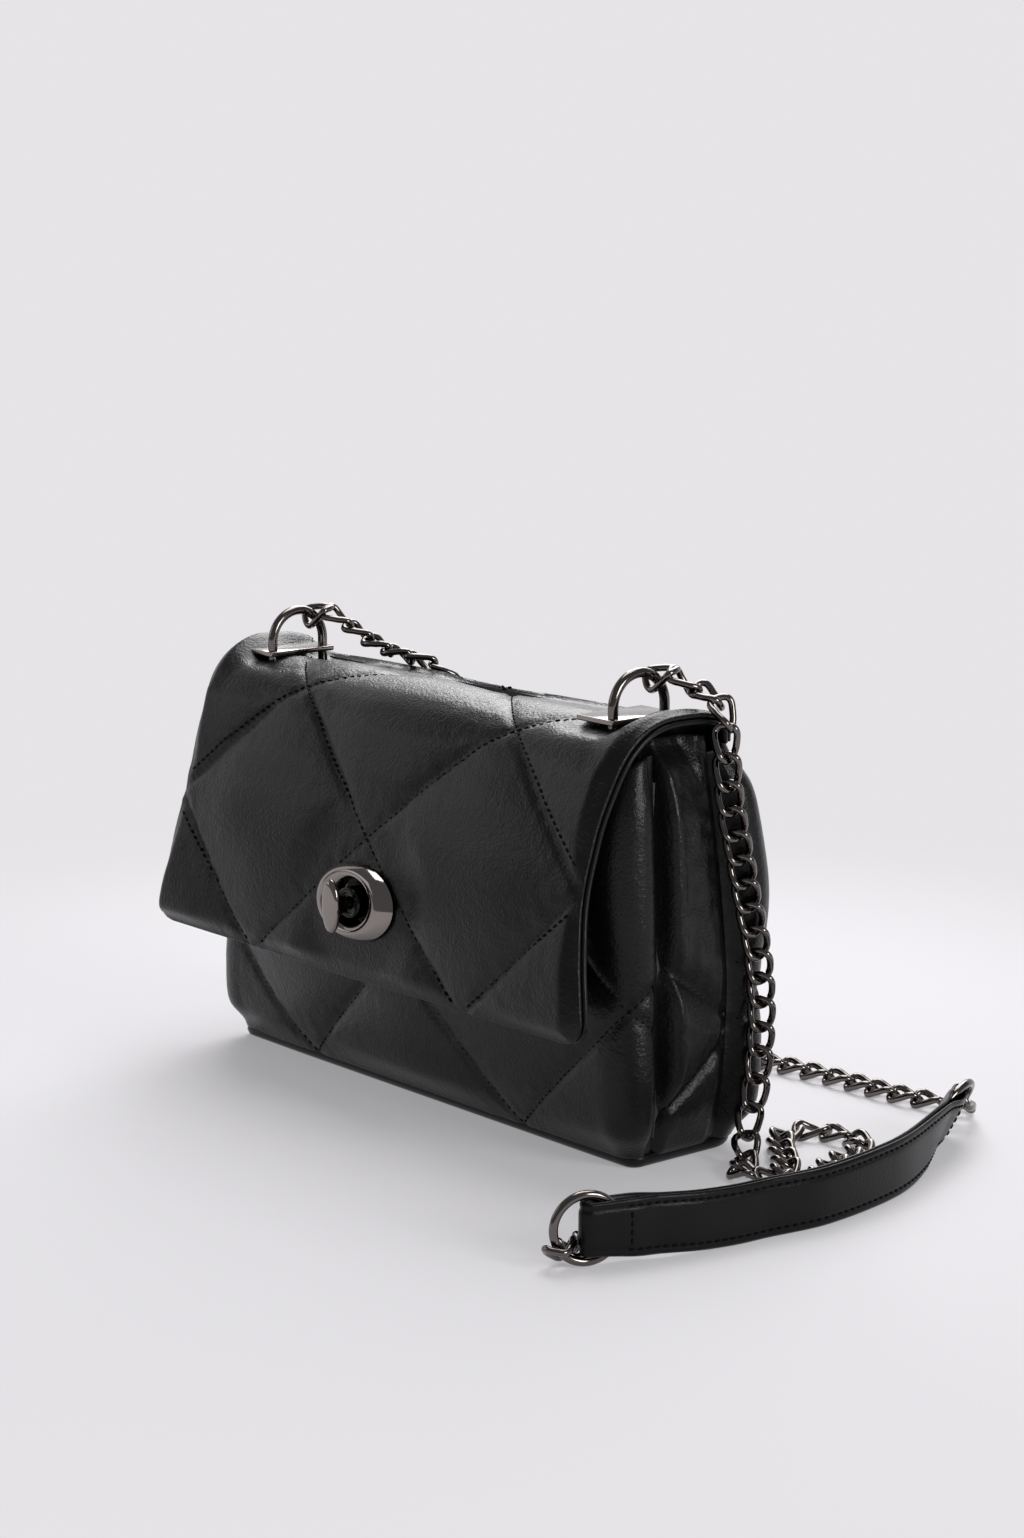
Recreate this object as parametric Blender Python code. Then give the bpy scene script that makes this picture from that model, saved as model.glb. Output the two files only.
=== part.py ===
import math

import bmesh
import bpy
from mathutils import Vector

# Body of the bag
body_width = 0.256
body_depth = 0.078
body_height = 0.1535
body_wall = 0.0035
front_belly = 0.0022
crease_dent = 0.002
seam_to_base = 0.0053
front_top = 0.1438
front_side_rise = 0.007
back_top = 0.1531
back_side_rise = -0.004
gusset_top = 0.1505
corner_share = 0.75
clearance = 0.0003

# Side profile: share of height, front reach, back reach and half width
profile_shares = (
    (0.0, 0.333, 0.359, 0.478),
    (0.05, 0.385, 0.404, 0.490),
    (0.16, 0.442, 0.468, 0.498),
    (0.40, 0.487, 0.519, 0.500),
    (0.60, 0.489, 0.462, 0.497),
    (0.80, 0.460, 0.372, 0.491),
    (1.0, 0.360, 0.250, 0.486),
)
front_crease_share = 0.256
back_crease_share = 0.42

# Quilting: half a diamond along the width and up the wall
quilt_half_width = 0.064
quilt_half_height = 0.0555
quilt_cells = 6
quilt_puff = 0.003
quilt_sink = 0.0012
quilt_power = 2.6

# Base and inner pieces
base_thickness = 0.005
base_edge = 0.0008
board_thickness = 0.002
board_inset = 0.005
lining_thickness = 0.001
lining_tuck = 0.0008
lining_top = 0.141
pocket_half_width = 0.075
pocket_low = 0.045
pocket_high = 0.115
pocket_thickness = 0.001
pocket_gap = 0.0009

# Flap: outer profile from the fold at the back to the lower edge, depth, height and half width shares
flap_profile_shares = (
    (0.250, 1.003, 0.965), (0.237, 1.036, 0.965), (0.185, 1.068, 0.965), (0.07, 1.086, 0.965),
    (-0.08, 1.090, 0.964), (-0.205, 1.085, 0.963), (-0.315, 1.065, 0.961), (-0.405, 1.031, 0.958),
    (-0.478, 0.983, 0.953), (-0.538, 0.914, 0.942), (-0.590, 0.849, 0.936), (-0.628, 0.784, 0.933),
    (-0.667, 0.719, 0.934), (-0.699, 0.653, 0.940), (-0.724, 0.588, 0.952), (-0.744, 0.522, 0.965),
    (-0.763, 0.457, 0.982), (-0.776, 0.391, 0.995), (-0.781, 0.349, 1.0),
)
flap_half_width = 0.1308
flap_shell_thickness = 0.0052
flap_lining_thickness = 0.0010
roof_puff_share = 0.6
flap_sag = 0.006
flap_sag_start = 0.108
flap_sag_end = 0.124
flap_rear_sag_share = 0.45
flap_sag_front_y = -0.014
flap_sag_run = 0.020
flap_sag_onset = 0.030
flap_rim_drop = 0.003
flap_node_arc = 0.0058

# Turn lock
lock_height = 0.0825
lock_flat_radius = 0.025
lock_flat_fade = 0.020
bezel_half_width = 0.0226
bezel_half_height = 0.0139
bezel_rise = 0.0046
bezel_hole_half_width = 0.0115
bezel_hole_half_height = 0.0091
sleeve_wall = 0.0007
keeper_half_width = 0.0195
keeper_half_height = 0.0122
keeper_thickness = 0.0008
post_plate_half_width = 0.0150
post_plate_half_height = 0.0100
post_plate_thickness = 0.0012
post_base_half_width = 0.0085
post_base_half_height = 0.0070
post_tip_half_width = 0.0066
post_tip_half_height = 0.0058
post_length = 0.0198
post_bore_radius = 0.0024
anchor_thickness = 0.0010
stem_radius = 0.0020
stem_depth = 0.0080
neck_half_width = 0.0027
neck_half_height = 0.0034
neck_length = 0.0056
blade_half_width = 0.0038
blade_half_height = 0.0100
blade_thickness = 0.0036

# Bezel from its rim into the hole: share of the way in, share of the rise
bezel_dome_shares = ((0, 0), (0, 0.22), (0.12, 0.62), (0.40, 0.92), (0.78, 1.0), (0.96, 0.92), (1, 0.7))
# Post from foot to tip: share of the length, share of the taper
post_taper_shares = ((0, 0), (0.2, 0), (1, 1))
# Blade from the neck to its front: shares of the thickness, half width and half height
blade_shares = ((0, 0.86, 0.8), (0.5, 1, 1), (0.8, 0.9, 0.94), (1, 0.55, 0.8))
neck_shares = (0.2, 0.7)

# Staple rings and their plates
staple_x = 0.103
staple_front_y = -0.0194
staple_span = 0.0248
staple_rise = 0.0155
staple_wire = 0.0038
staple_leg = 0.0035
plate_width = 0.0195
plate_length = 0.0312
plate_thickness = 0.0020
plate_margin = 0.0015
plate_calm = 0.006
washer_thickness = 0.0010
washer_margin = 0.0020

# Chain
wire = 0.0021
link_length = 0.0141
link_width = 0.0100
link_twist = 0.00150
link_points = 10
link_sides = 5
hidden_link_points = 8
hidden_link_sides = 4
link_play = 0.0009
link_weld_share = 0.20
link_square_share = 0.80

# Shoulder pad
pad_height = 0.0205
pad_ply = 0.0018
pad_pocket = 0.0038
pad_pocket_length = 0.0130
pad_tab = 0.0350
pad_fold_height = 0.0186
pad_settle = 0.0600
pad_ring_radius = 0.0115
pad_ring_wire = 0.0031
pad_ring_reach = 0.0012
pad_lean_degrees = 48.7
pad_lean_share = 0.40
pad_steps = 28

# Plan route of the shoulder pad on the floor, out from the bag's right side and along it
pad_route = (
    (0.0605, -0.1042), (0.0630, -0.0980), (0.0668, -0.0885), (0.0708, -0.0770),
    (0.0739, -0.0650), (0.0760, -0.0430), (0.0750, -0.0140), (0.0675, 0.0220),
    (0.0575, 0.0480), (0.0472, 0.0700), (0.0420, 0.0820), (0.0385, 0.0920),
)

# Route of the right hand chain, out from the bag's right side, each point with the way its flat side faces
right_route = (
    ((-0.0095, 0.0115, 0.1698), (0.2, 0.1, 1.0)),
    ((-0.0015, 0.0128, 0.1680), (0.5, 0.1, 1.0)),
    ((0.0045, 0.0128, 0.1630), (1.0, 0.1, 0.8)),
    ((0.0070, 0.0126, 0.1550), (1.0, 0.0, 0.1)),
    ((0.0070, 0.0133, 0.1330), (1.0, -0.2, 0.0)),
    ((0.0070, 0.0170, 0.1140), (1.0, -0.2, 0.0)),
    ((0.0070, 0.0213, 0.0950), (1.0, -0.2, 0.0)),
    ((0.0072, 0.0255, 0.0760), (1.0, -0.2, 0.0)),
    ((0.0075, 0.0280, 0.0570), (1.0, -0.2, 0.0)),
    ((0.0077, 0.0280, 0.0380), (1.0, -0.2, 0.0)),
    ((0.0078, 0.0250, 0.0220), (1.0, -0.2, 0.2)),
    ((0.0100, 0.0180, 0.0100), (0.7, 0.0, 0.7)),
    ((0.0170, 0.0085, 0.0040), (0.1, 0.0, 1.0)),
    ((0.0250, -0.0010, 0.0032), (0.0, 0.0, 1.0)),
    ((0.0340, -0.0020, 0.0032), (0.0, 0.0, 1.0)),
    ((0.0370, 0.0070, 0.0032), (0.0, 0.0, 1.0)),
    ((0.0300, 0.0155, 0.0032), (0.0, 0.0, 1.0)),
    ((0.0210, 0.0230, 0.0032), (0.0, 0.0, 1.0)),
    ((0.0110, 0.0315, 0.0032), (0.0, 0.0, 1.0)),
    ((0.0040, 0.0415, 0.0032), (0.0, 0.0, 1.0)),
    ((0.0070, 0.0520, 0.0032), (0.0, 0.0, 1.0)),
    ((0.0180, 0.0560, 0.0032), (0.0, 0.0, 1.0)),
    ((0.0290, 0.0550, 0.0032), (0.0, 0.0, 1.0)),
    ((0.0360, 0.0460, 0.0032), (0.0, 0.0, 1.0)),
    ((0.0390, 0.0330, 0.0032), (0.0, 0.0, 1.0)),
    ((0.0460, 0.0180, 0.0032), (0.0, 0.0, 1.0)),
    ((0.0540, 0.0040, 0.0032), (0.0, 0.0, 1.0)),
    ((0.0610, -0.0100, 0.0032), (0.0, 0.0, 1.0)),
    ((0.0610, -0.0400, 0.0032), (0.0, 0.0, 1.0)),
    ((0.0560, -0.0650, 0.0032), (0.0, 0.0, 1.0)),
    ((0.0480, -0.0850, 0.0032), (0.0, 0.0, 1.0)),
)

# Route of the left hand chain over the back edge and along the floor behind
left_route = (
    ((-0.0850, 0.0120, 0.1690), (0.0, 0.3, 1.0)),
    ((-0.0740, 0.0145, 0.1658), (0.0, 0.2, 1.0)),
    ((-0.0640, 0.0170, 0.1650), (0.0, 0.4, 1.0)),
    ((-0.0560, 0.0218, 0.1625), (0.0, 0.7, 0.7)),
    ((-0.0505, 0.0265, 0.1560), (0.0, 0.9, 0.4)),
    ((-0.0465, 0.0305, 0.1460), (0.0, 1.0, 0.3)),
    ((-0.0425, 0.0350, 0.1340), (0.0, 1.0, 0.3)),
    ((-0.0400, 0.0395, 0.1200), (0.0, 1.0, 0.2)),
    ((-0.0370, 0.0440, 0.1000), (0.0, 1.0, 0.2)),
    ((-0.0340, 0.0470, 0.0780), (0.0, 1.0, 0.1)),
    ((-0.0310, 0.0480, 0.0550), (0.0, 1.0, 0.0)),
    ((-0.0290, 0.0485, 0.0350), (0.0, 1.0, 0.0)),
    ((-0.0280, 0.0510, 0.0190), (0.0, 1.0, 0.2)),
    ((-0.0240, 0.0575, 0.0080), (0.0, 0.6, 0.8)),
    ((-0.0140, 0.0670, 0.0032), (0.0, 0.0, 1.0)),
    ((0.0050, 0.0830, 0.0032), (0.0, 0.0, 1.0)),
    ((0.0300, 0.0970, 0.0032), (0.0, 0.0, 1.0)),
    ((0.0600, 0.1050, 0.0032), (0.0, 0.0, 1.0)),
    ((0.0900, 0.1090, 0.0032), (0.0, 0.0, 1.0)),
    ((0.1200, 0.1110, 0.0032), (0.0, 0.0, 1.0)),
    ((0.1380, 0.1150, 0.0032), (0.0, 0.0, 1.0)),
    ((0.1480, 0.1180, 0.0034), (0.0, 0.0, 1.0)),
)

# How the last links hang on the staple rings and on the rings of the pad
staple_turn_degrees = 49.85
staple_link_way = (0.85, 0.35, 0.40)
right_second_way = (0.50, 0.60, -0.62)
left_second_way = (0.72, 0.48, -0.50)
pad_front_turn_degrees = 34.4
pad_rear_turn_degrees = 0
right_last_way = (0.44, -0.87, 0.22)
left_last_way = (0.63, -0.60, 0.48)

# Colours of the leather, the lining and the metal
leather_colour = (0.012, 0.012, 0.013)
lining_colour = (0.05, 0.05, 0.055)
board_colour = (0.16, 0.13, 0.10)
metal_colour = (0.23, 0.21, 0.20)
dark_metal_colour = (0.14, 0.13, 0.125)


def clear_scene():
    for thing in list(bpy.data.objects):
        bpy.data.objects.remove(thing, do_unlink=True)


def material(name, colour, roughness, metallic):
    made = bpy.data.materials.get(name) or bpy.data.materials.new(name)
    made.use_nodes = True
    shader = made.node_tree.nodes["Principled BSDF"]
    shader.inputs["Base Color"].default_value = (*colour, 1)
    shader.inputs["Roughness"].default_value = roughness
    shader.inputs["Metallic"].default_value = metallic
    return made


def smooth_rows(rows, key):
    # Cubic blend through rows whose first value is the key
    last = len(rows) - 2
    at = 0
    while at < last and key > rows[at + 1][0]:
        at += 1
    before, low, high, after = (
        rows[max(at - 1, 0)], rows[at], rows[at + 1], rows[min(at + 2, len(rows) - 1)]
    )
    step = high[0] - low[0]
    t = min(max((key - low[0]) / step, 0), 1)
    values = []
    for k in range(1, len(low)):
        slope_low = (high[k] - before[k]) / (high[0] - before[0])
        slope_high = (after[k] - low[k]) / (after[0] - low[0])
        values.append(
            (2 * t**3 - 3 * t**2 + 1) * low[k]
            + (t**3 - 2 * t**2 + t) * step * slope_low
            + (3 * t**2 - 2 * t**3) * high[k]
            + (t**3 - t**2) * step * slope_high
        )
    return values


def ease(value):
    t = min(max(value, 0), 1)
    return t * t * (3 - 2 * t)


def add_object(name, mesh, slot, parent=None):
    mesh.materials.append(slot)
    made = bpy.data.objects.new(name, mesh)
    bpy.context.scene.collection.objects.link(made)
    if parent:
        made.parent = parent
        made.matrix_parent_inverse = parent.matrix_world.inverted()
    return made


def mesh_from_faces(name, points, faces, angle=40):
    shape = bmesh.new()
    verts = [shape.verts.new(point) for point in points]
    for face in faces:
        shape.faces.new([verts[k] for k in face])
    bmesh.ops.recalc_face_normals(shape, faces=shape.faces)
    mesh = bpy.data.meshes.new(name)
    shape.to_mesh(mesh)
    shape.free()
    mesh.shade_smooth()
    mesh.set_sharp_from_angle(angle=math.radians(angle))
    return mesh


def ring_faces(rings, size, closed=False, first_cap=True, last_cap=True):
    # Faces joining rings of equal size, numbered one ring after another
    faces = []
    spans = rings if closed else rings - 1
    for k in range(spans):
        low = k * size
        high = (k + 1) % rings * size
        for j in range(size):
            after = (j + 1) % size
            faces.append((low + j, low + after, high + after, high + j))
    if not closed:
        if first_cap:
            faces.append(tuple(range(size)))
        if last_cap:
            faces.append(tuple((rings - 1) * size + j for j in range(size)))
    return faces


def loft(name, rings, closed=False):
    points = [point for ring in rings for point in ring]
    return mesh_from_faces(name, points, ring_faces(len(rings), len(rings[0]), closed))


def slab_between(name, outer, inner, diagonal=None):
    # A wall closed between an outer and an inner grid of points
    rows, columns = len(outer), len(outer[0])
    points = [point for grid in (outer, inner) for row in grid for point in row]
    under = rows * columns
    faces = []
    for r in range(rows - 1):
        for c in range(columns - 1):
            a = r * columns + c
            b, e, d = a + 1, a + columns + 1, a + columns
            way = diagonal(r, c) if diagonal else 0
            if way > 0:
                faces += [(a, b, e), (a, e, d)]
            elif way < 0:
                faces += [(a, b, d), (b, e, d)]
            else:
                faces.append((a, b, e, d))
            faces += [(under + e, under + b, under + a), (under + d, under + e, under + a)]
    rim = [c for c in range(columns)]
    rim += [r * columns + columns - 1 for r in range(1, rows)]
    rim += [(rows - 1) * columns + c for c in range(columns - 2, -1, -1)]
    rim += [r * columns for r in range(rows - 2, 0, -1)]
    for k, a in enumerate(rim):
        b = rim[(k + 1) % len(rim)]
        faces.append((a, b, under + b, under + a))
    return mesh_from_faces(name, points, faces)


def cut(target, cutter, operation="DIFFERENCE", solver="EXACT"):
    change = target.modifiers.new("Cut", "BOOLEAN")
    change.operation = operation
    change.solver = solver
    change.object = cutter
    cutter.hide_render = True
    cutter.display_type = "WIRE"


def oval(half_width, half_height, y, z, count, power=1):
    points = []
    for k in range(count):
        turn = 2 * math.pi * k / count
        c, s = math.cos(turn), math.sin(turn)
        wide = math.copysign(abs(c) ** power, c)
        high = math.copysign(abs(s) ** power, s)
        points.append(Vector((half_width * wide, y, z + half_height * high)))
    return points


# Body walls
def body_size(height):
    front, back, half = smooth_rows(profile_shares, height / body_height)
    return front * body_depth, back * body_depth, half * body_width


def face_run(height, facing):
    front, back, half = body_size(height)
    reach = front if facing < 0 else back
    share = front_crease_share if facing < 0 else back_crease_share
    crease = share * body_depth if facing < 0 else share * reach
    turn_depth = max(reach - crease, body_wall)
    radius = corner_share * turn_depth
    straight = half - radius
    run = straight + radius * math.pi / 2 + turn_depth - radius
    return reach, half, radius, straight, run


def face_point(height, along, inset, facing):
    # A point on the front or back wall, along its width from the middle
    reach, half, radius, straight, run = face_run(height, facing)
    a = min(abs(along), run)
    side = math.copysign(1, along)
    if a <= straight:
        full = 1 - (2 * height / body_height - 1) ** 4
        belly = front_belly * full * (1 - (a / straight) ** 2)
        x, back_off, nx, ny = a, -belly, 0, 1
    elif a <= straight + radius * math.pi / 2:
        turn = (a - straight) / radius
        x = straight + radius * math.sin(turn)
        back_off = radius * (1 - math.cos(turn))
        nx, ny = math.sin(turn), math.cos(turn)
    else:
        x, nx, ny = half, 1, 0
        back_off = radius + a - straight - radius * math.pi / 2
    x -= nx * inset
    back_off += ny * inset
    return Vector((side * x, facing * (reach - back_off), height))


def pillow(across, up):
    # Height of the quilting over its seams, from 0 on a seam to 1 mid diamond
    u = (across / quilt_half_width + up / quilt_half_height) / 2
    v = (across / quilt_half_width - up / quilt_half_height) / 2
    rise = 1
    for part in (u, v):
        off_middle = abs(2 * (part - math.floor(part)) - 1)
        rise *= 1 - off_middle**quilt_power
    return rise


def quilt_diagonal(across_index, up_index):
    # 1 where a seam runs up to the right across the square, otherwise -1
    return 1 if (across_index - up_index) % (2 * quilt_cells) == 0 else -1


def lock_calm(across, height):
    # The leather lies flat round the turn lock
    away = math.hypot(across, height - lock_height)
    return ease((away - lock_flat_radius) / lock_flat_fade)


def wall_stops(height, facing):
    # Places along a wall's width, from crease to crease
    step = quilt_half_width / quilt_cells
    wraps = 2 * quilt_cells + 1
    run = face_run(height, facing)[4]
    inner = [c * step for c in range(1 - wraps, wraps)]
    return [-run, *(min(max(a, clearance - run), run - clearance) for a in inner), run]


def face_wall(name, facing, top, side_rise, slot):
    step = quilt_half_width / quilt_cells
    rise = quilt_half_height / quilt_cells
    rows = int((top - seam_to_base) / rise) + 1
    wraps = 2 * quilt_cells + 1
    outer, inner = [], []
    for r in range(rows):
        share = r / (rows - 1)
        outer_row, inner_row = [], []
        for c in range(-wraps, wraps + 1):
            side_share = max(abs(c) - wraps + 2, 0) / 2
            this_top = top + side_rise * side_share
            height = seam_to_base + share * (this_top - seam_to_base)
            along = wall_stops(height, facing)[c + wraps]
            edge = min(r, rows - 1 - r, 1)
            puff = pillow(c * step, quilt_half_height + share * (rows - 1) * rise) * edge
            if facing < 0:
                puff *= lock_calm(along, height)
            if abs(c) == wraps:
                puff = 0
            dent = crease_dent if abs(c) == wraps else 0
            outer_row.append(
                face_point(height, along, quilt_sink - quilt_puff * puff + dent, facing)
            )
            inner_row.append(face_point(height, along, body_wall, facing))
        outer.append(outer_row)
        inner.append(inner_row)
    mesh = slab_between(
        name, outer, inner, lambda r, c: quilt_diagonal(c - wraps, r + quilt_cells)
    )
    return add_object(name, mesh, slot)


def gusset_wall(name, side, slot):
    rows = 12
    columns = ((0, 1.0), (0.14, 0.2), (0.5, -0.6), (0.86, 0.2), (1, 1.0))
    outer, inner = [], []
    for r in range(rows + 1):
        height = seam_to_base + (gusset_top - seam_to_base) * r / rows
        front_end = face_point(height, body_width, 0, -1)
        back_end = face_point(height, body_width, 0, 1)
        start, end = front_end.y + clearance, back_end.y - clearance
        half = body_size(height)[2]
        outer_row, inner_row = [], []
        for share, dent in columns:
            y = start + share * (end - start)
            x = half - crease_dent * dent
            outer_row.append(Vector((side * x, y, height)))
            inner_row.append(Vector((side * (half - body_wall), y, height)))
        outer.append(outer_row)
        inner.append(inner_row)
    return add_object(name, slab_between(name, outer, inner), slot)


def plan_ring(height, inset):
    # The whole outline of the bag at one height
    points = []
    for facing in (-1, 1):
        stops = wall_stops(height, facing)
        corner = len(stops) // 5
        kept = stops[:corner] + stops[corner:-corner:4] + stops[-corner:]
        side = [face_point(height, stop, inset, facing) for stop in kept]
        points += side if facing < 0 else side[::-1]
    return points


def base_panel(slot):
    top = seam_to_base - clearance
    rings = [
        [Vector((p.x, p.y, 0)) for p in plan_ring(0, base_edge)],
        [Vector((p.x, p.y, base_edge)) for p in plan_ring(0, 0)],
        [Vector((p.x, p.y, top - base_edge)) for p in plan_ring(top, 0)],
        [Vector((p.x, p.y, top)) for p in plan_ring(top, base_edge)],
    ]
    return add_object("base_panel", loft("base_panel", rings), slot)


def base_board(slot):
    low = seam_to_base + clearance
    rings = [
        [Vector((p.x, p.y, low + rise)) for p in plan_ring(low, board_inset)]
        for rise in (0, board_thickness)
    ]
    return add_object("base_board", loft("base_board", rings), slot)


def lining_box(slot):
    floor = seam_to_base + board_thickness + 2 * clearance
    skin = body_wall + clearance
    rise = quilt_half_height / quilt_cells
    heights = [floor, *(seam_to_base + k * rise for k in (1, 2, 3, 4, 6, 8, 10, 12, 13)), lining_top]
    rings = [plan_ring(height, skin) for height in heights]
    rings[0] = plan_ring(floor, skin + lining_tuck)
    for height in heights[:0:-1]:
        rings.append(plan_ring(height, skin + lining_thickness))
    rings.append(plan_ring(floor + lining_thickness, skin + lining_thickness + lining_tuck))
    return add_object("lining", loft("lining", rings), slot)


def slip_pocket(slot):
    inset = body_wall + clearance + lining_thickness + pocket_gap
    outer, inner = [], []
    for r in range(6):
        height = pocket_low + (pocket_high - pocket_low) * r / 5
        outer.append([
            face_point(height, pocket_half_width * share, inset, 1)
            for share in (-1, -0.5, 0, 0.5, 1)
        ])
        inner.append([
            face_point(height, pocket_half_width * share, inset + pocket_thickness, 1)
            for share in (-1, -0.5, 0, 0.5, 1)
        ])
    return add_object("inner_pocket", slab_between("inner_pocket", outer, inner), slot)


# Flap
def flap_curve():
    # The flap's outer profile as points, with its length up to each
    knots = [
        (k, depth * body_depth, height * body_height, half * flap_half_width)
        for k, (depth, height, half) in enumerate(flap_profile_shares)
    ]
    per_knot = 12
    points = [smooth_rows(knots, k / per_knot) for k in range((len(knots) - 1) * per_knot + 1)]
    lengths = [0]
    for near, far in zip(points, points[1:]):
        lengths.append(lengths[-1] + math.dist(near[:2], far[:2]))
    return points, lengths


flap_points, flap_lengths = flap_curve()
flap_length = flap_lengths[-1]


def flap_step(arc):
    # The profile's point before an arc length, and how far on to the next one
    arc = min(max(arc, 0), flap_length)
    at = 0
    while at < len(flap_lengths) - 2 and flap_lengths[at + 1] < arc:
        at += 1
    return at, (arc - flap_lengths[at]) / (flap_lengths[at + 1] - flap_lengths[at])


def flap_at(arc):
    # Place on the profile and the way that faces out
    at, t = flap_step(arc)
    ya, za, _ = flap_points[at]
    yb, zb, _ = flap_points[at + 1]
    near, far = max(at - 4, 0), min(at + 5, len(flap_points) - 1)
    dy = flap_points[far][0] - flap_points[near][0]
    dz = flap_points[far][1] - flap_points[near][1]
    size = math.hypot(dy, dz)
    return ya + t * (yb - ya), za + t * (zb - za), dz / size, -dy / size


def flap_point(arc, x, inset):
    y, z, ny, nz = flap_at(arc)
    sag = flap_sag * (1 - ease((abs(x) - flap_sag_start) / (flap_sag_end - flap_sag_start)))
    sag *= 1 + flap_rear_sag_share * ease((y - flap_sag_front_y) / flap_sag_run)
    fold = ease(arc / flap_sag_onset)
    z -= sag * max(nz, 0) ** 2 * fold
    return Vector((x, y - ny * inset, z - nz * inset))


def flap_half_at(arc):
    at, t = flap_step(arc)
    return flap_points[at][2] + t * (flap_points[at + 1][2] - flap_points[at][2])


def flap_rows():
    step = quilt_half_height / quilt_cells
    count = round((flap_length - flap_node_arc) / step)
    rows = [(0, -flap_node_arc)]
    for k in range(count + 1):
        rows.append((flap_node_arc + k * step, k * step))
    rows[-1] = (flap_length, rows[-1][1])
    return rows


def plate_calm_at(x, arc):
    # The roof is quieter than the front and lies flat under the ring plates
    y, height = flap_at(arc)[:2]
    middle_x = staple_x - plate_width / 2 + plate_margin
    middle_y = staple_front_y + staple_span / 2
    off_x = max(abs(abs(x) - middle_x) - plate_width / 2, 0)
    off_y = max(abs(y - middle_y) - plate_length / 2, 0)
    quiet = ease((math.hypot(off_x, off_y) - plate_calm / 2) / plate_calm)
    full = ease((back_top - height) / plate_calm)
    return quiet * (roof_puff_share + (1 - roof_puff_share) * full)


def flap_shell(slot, parent):
    half_columns = 2 * quilt_cells
    rows = flap_rows()
    outer, inner = [], []
    for r, (arc, up) in enumerate(rows):
        half = flap_half_at(arc)
        outer_row, inner_row = [], []
        for c in range(-half_columns, half_columns + 1):
            x = half * c / half_columns
            rim = r in (0, len(rows) - 1) or abs(c) == half_columns
            z = flap_at(arc)[1]
            puff = pillow(c * quilt_half_width / quilt_cells, up)
            calm = lock_calm(x, z) if arc > flap_length / 2 else plate_calm_at(x, arc)
            inset = quilt_sink - quilt_puff * puff * calm
            if rim:
                inset = quilt_sink + flap_rim_drop * (0.5 if r == 0 else 1)
            outer_row.append(flap_point(arc, x, inset))
            inner_row.append(flap_point(arc, x, flap_shell_thickness))
        outer.append(outer_row)
        inner.append(inner_row)
    mesh = slab_between(
        "flap_shell", outer, inner, lambda r, c: quilt_diagonal(c - half_columns, r - 1)
    )
    return add_object("flap_shell", mesh, slot, parent)


def flap_lining(slot, parent):
    skin = flap_shell_thickness + clearance
    half_columns = 2 * quilt_cells
    sagging = int(half_columns * flap_sag_start / flap_half_at(0))
    kept = [c for c in range(-half_columns, half_columns + 1) if c == 0 or abs(c) >= sagging]
    outer, inner = [], []
    for arc, _ in flap_rows():
        half = flap_half_at(arc)
        for grid, inset in ((outer, skin), (inner, skin + flap_lining_thickness)):
            grid.append([flap_point(arc, half * c / half_columns, inset) for c in kept])
    mesh = slab_between("flap_lining", outer, inner, lambda r, c: 1)
    return add_object("flap_lining", mesh, slot, parent)


def roof_levels(inset, reach, inner_x):
    # Lowest and highest level of the roof, at an inset, near a staple ring's feet
    low_y, high_y = staple_front_y - reach, staple_front_y + staple_span + reach
    steps = 400
    samples = [
        flap_point(flap_length / 2 * k / steps, x, inset)
        for k in range(steps) for x in (inner_x, staple_x, staple_x + reach)
    ]
    levels = [p.z for p in samples if low_y < p.y < high_y]
    return min(levels), max(levels)


flap_inside = flap_shell_thickness + clearance + flap_lining_thickness
plate_reach = staple_wire / 2 + plate_margin
plate_level = roof_levels(quilt_sink, plate_reach, staple_x + plate_reach - plate_width)[1]
washer_reach = staple_wire / 2 + washer_margin
washer_level = (
    roof_levels(flap_inside, washer_reach, staple_x - washer_reach)[0]
    - 2 * clearance - washer_thickness
)


# Turn lock, its flap side in the plane of the flap there
def arc_at_height(height):
    low, high = flap_length / 2, flap_length
    for _ in range(30):
        middle = (low + high) / 2
        if flap_at(middle)[1] > height:
            low = middle
        else:
            high = middle
    return low


lock_arc = arc_at_height(lock_height)
lock_y, lock_z, lock_out_y, lock_out_z = flap_at(lock_arc)


def flap_oval(half_width, half_height, rise, count):
    # An oval round the lock, at a rise over the flap's outer profile
    return [
        Vector((
            p.x,
            lock_y + lock_out_y * rise + lock_out_z * p.z,
            lock_z + lock_out_z * rise - lock_out_y * p.z,
        ))
        for p in oval(half_width, half_height, 0, 0, count)
    ]


def flap_bow(half_height):
    # How far the flap bows in and out of the lock's plane, over a height
    near = [
        (y - lock_y) * lock_out_y + (z - lock_z) * lock_out_z
        for (y, z, _), length in zip(flap_points, flap_lengths) if abs(length - lock_arc) < half_height
    ]
    return min(near), max(near)


def body_reach(half_height):
    # How far out the front wall stands over the height of a plate behind it
    steps = 8
    return front_belly + max(
        body_size(lock_height + half_height * (2 * k / steps - 1))[0] for k in range(steps + 1)
    )


bezel_seat = flap_bow(bezel_half_height)[1] - quilt_sink + clearance
keeper_seat = flap_bow(keeper_half_height)[0] - flap_inside - clearance
body_face = quilt_sink - body_reach(post_plate_half_height)


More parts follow.
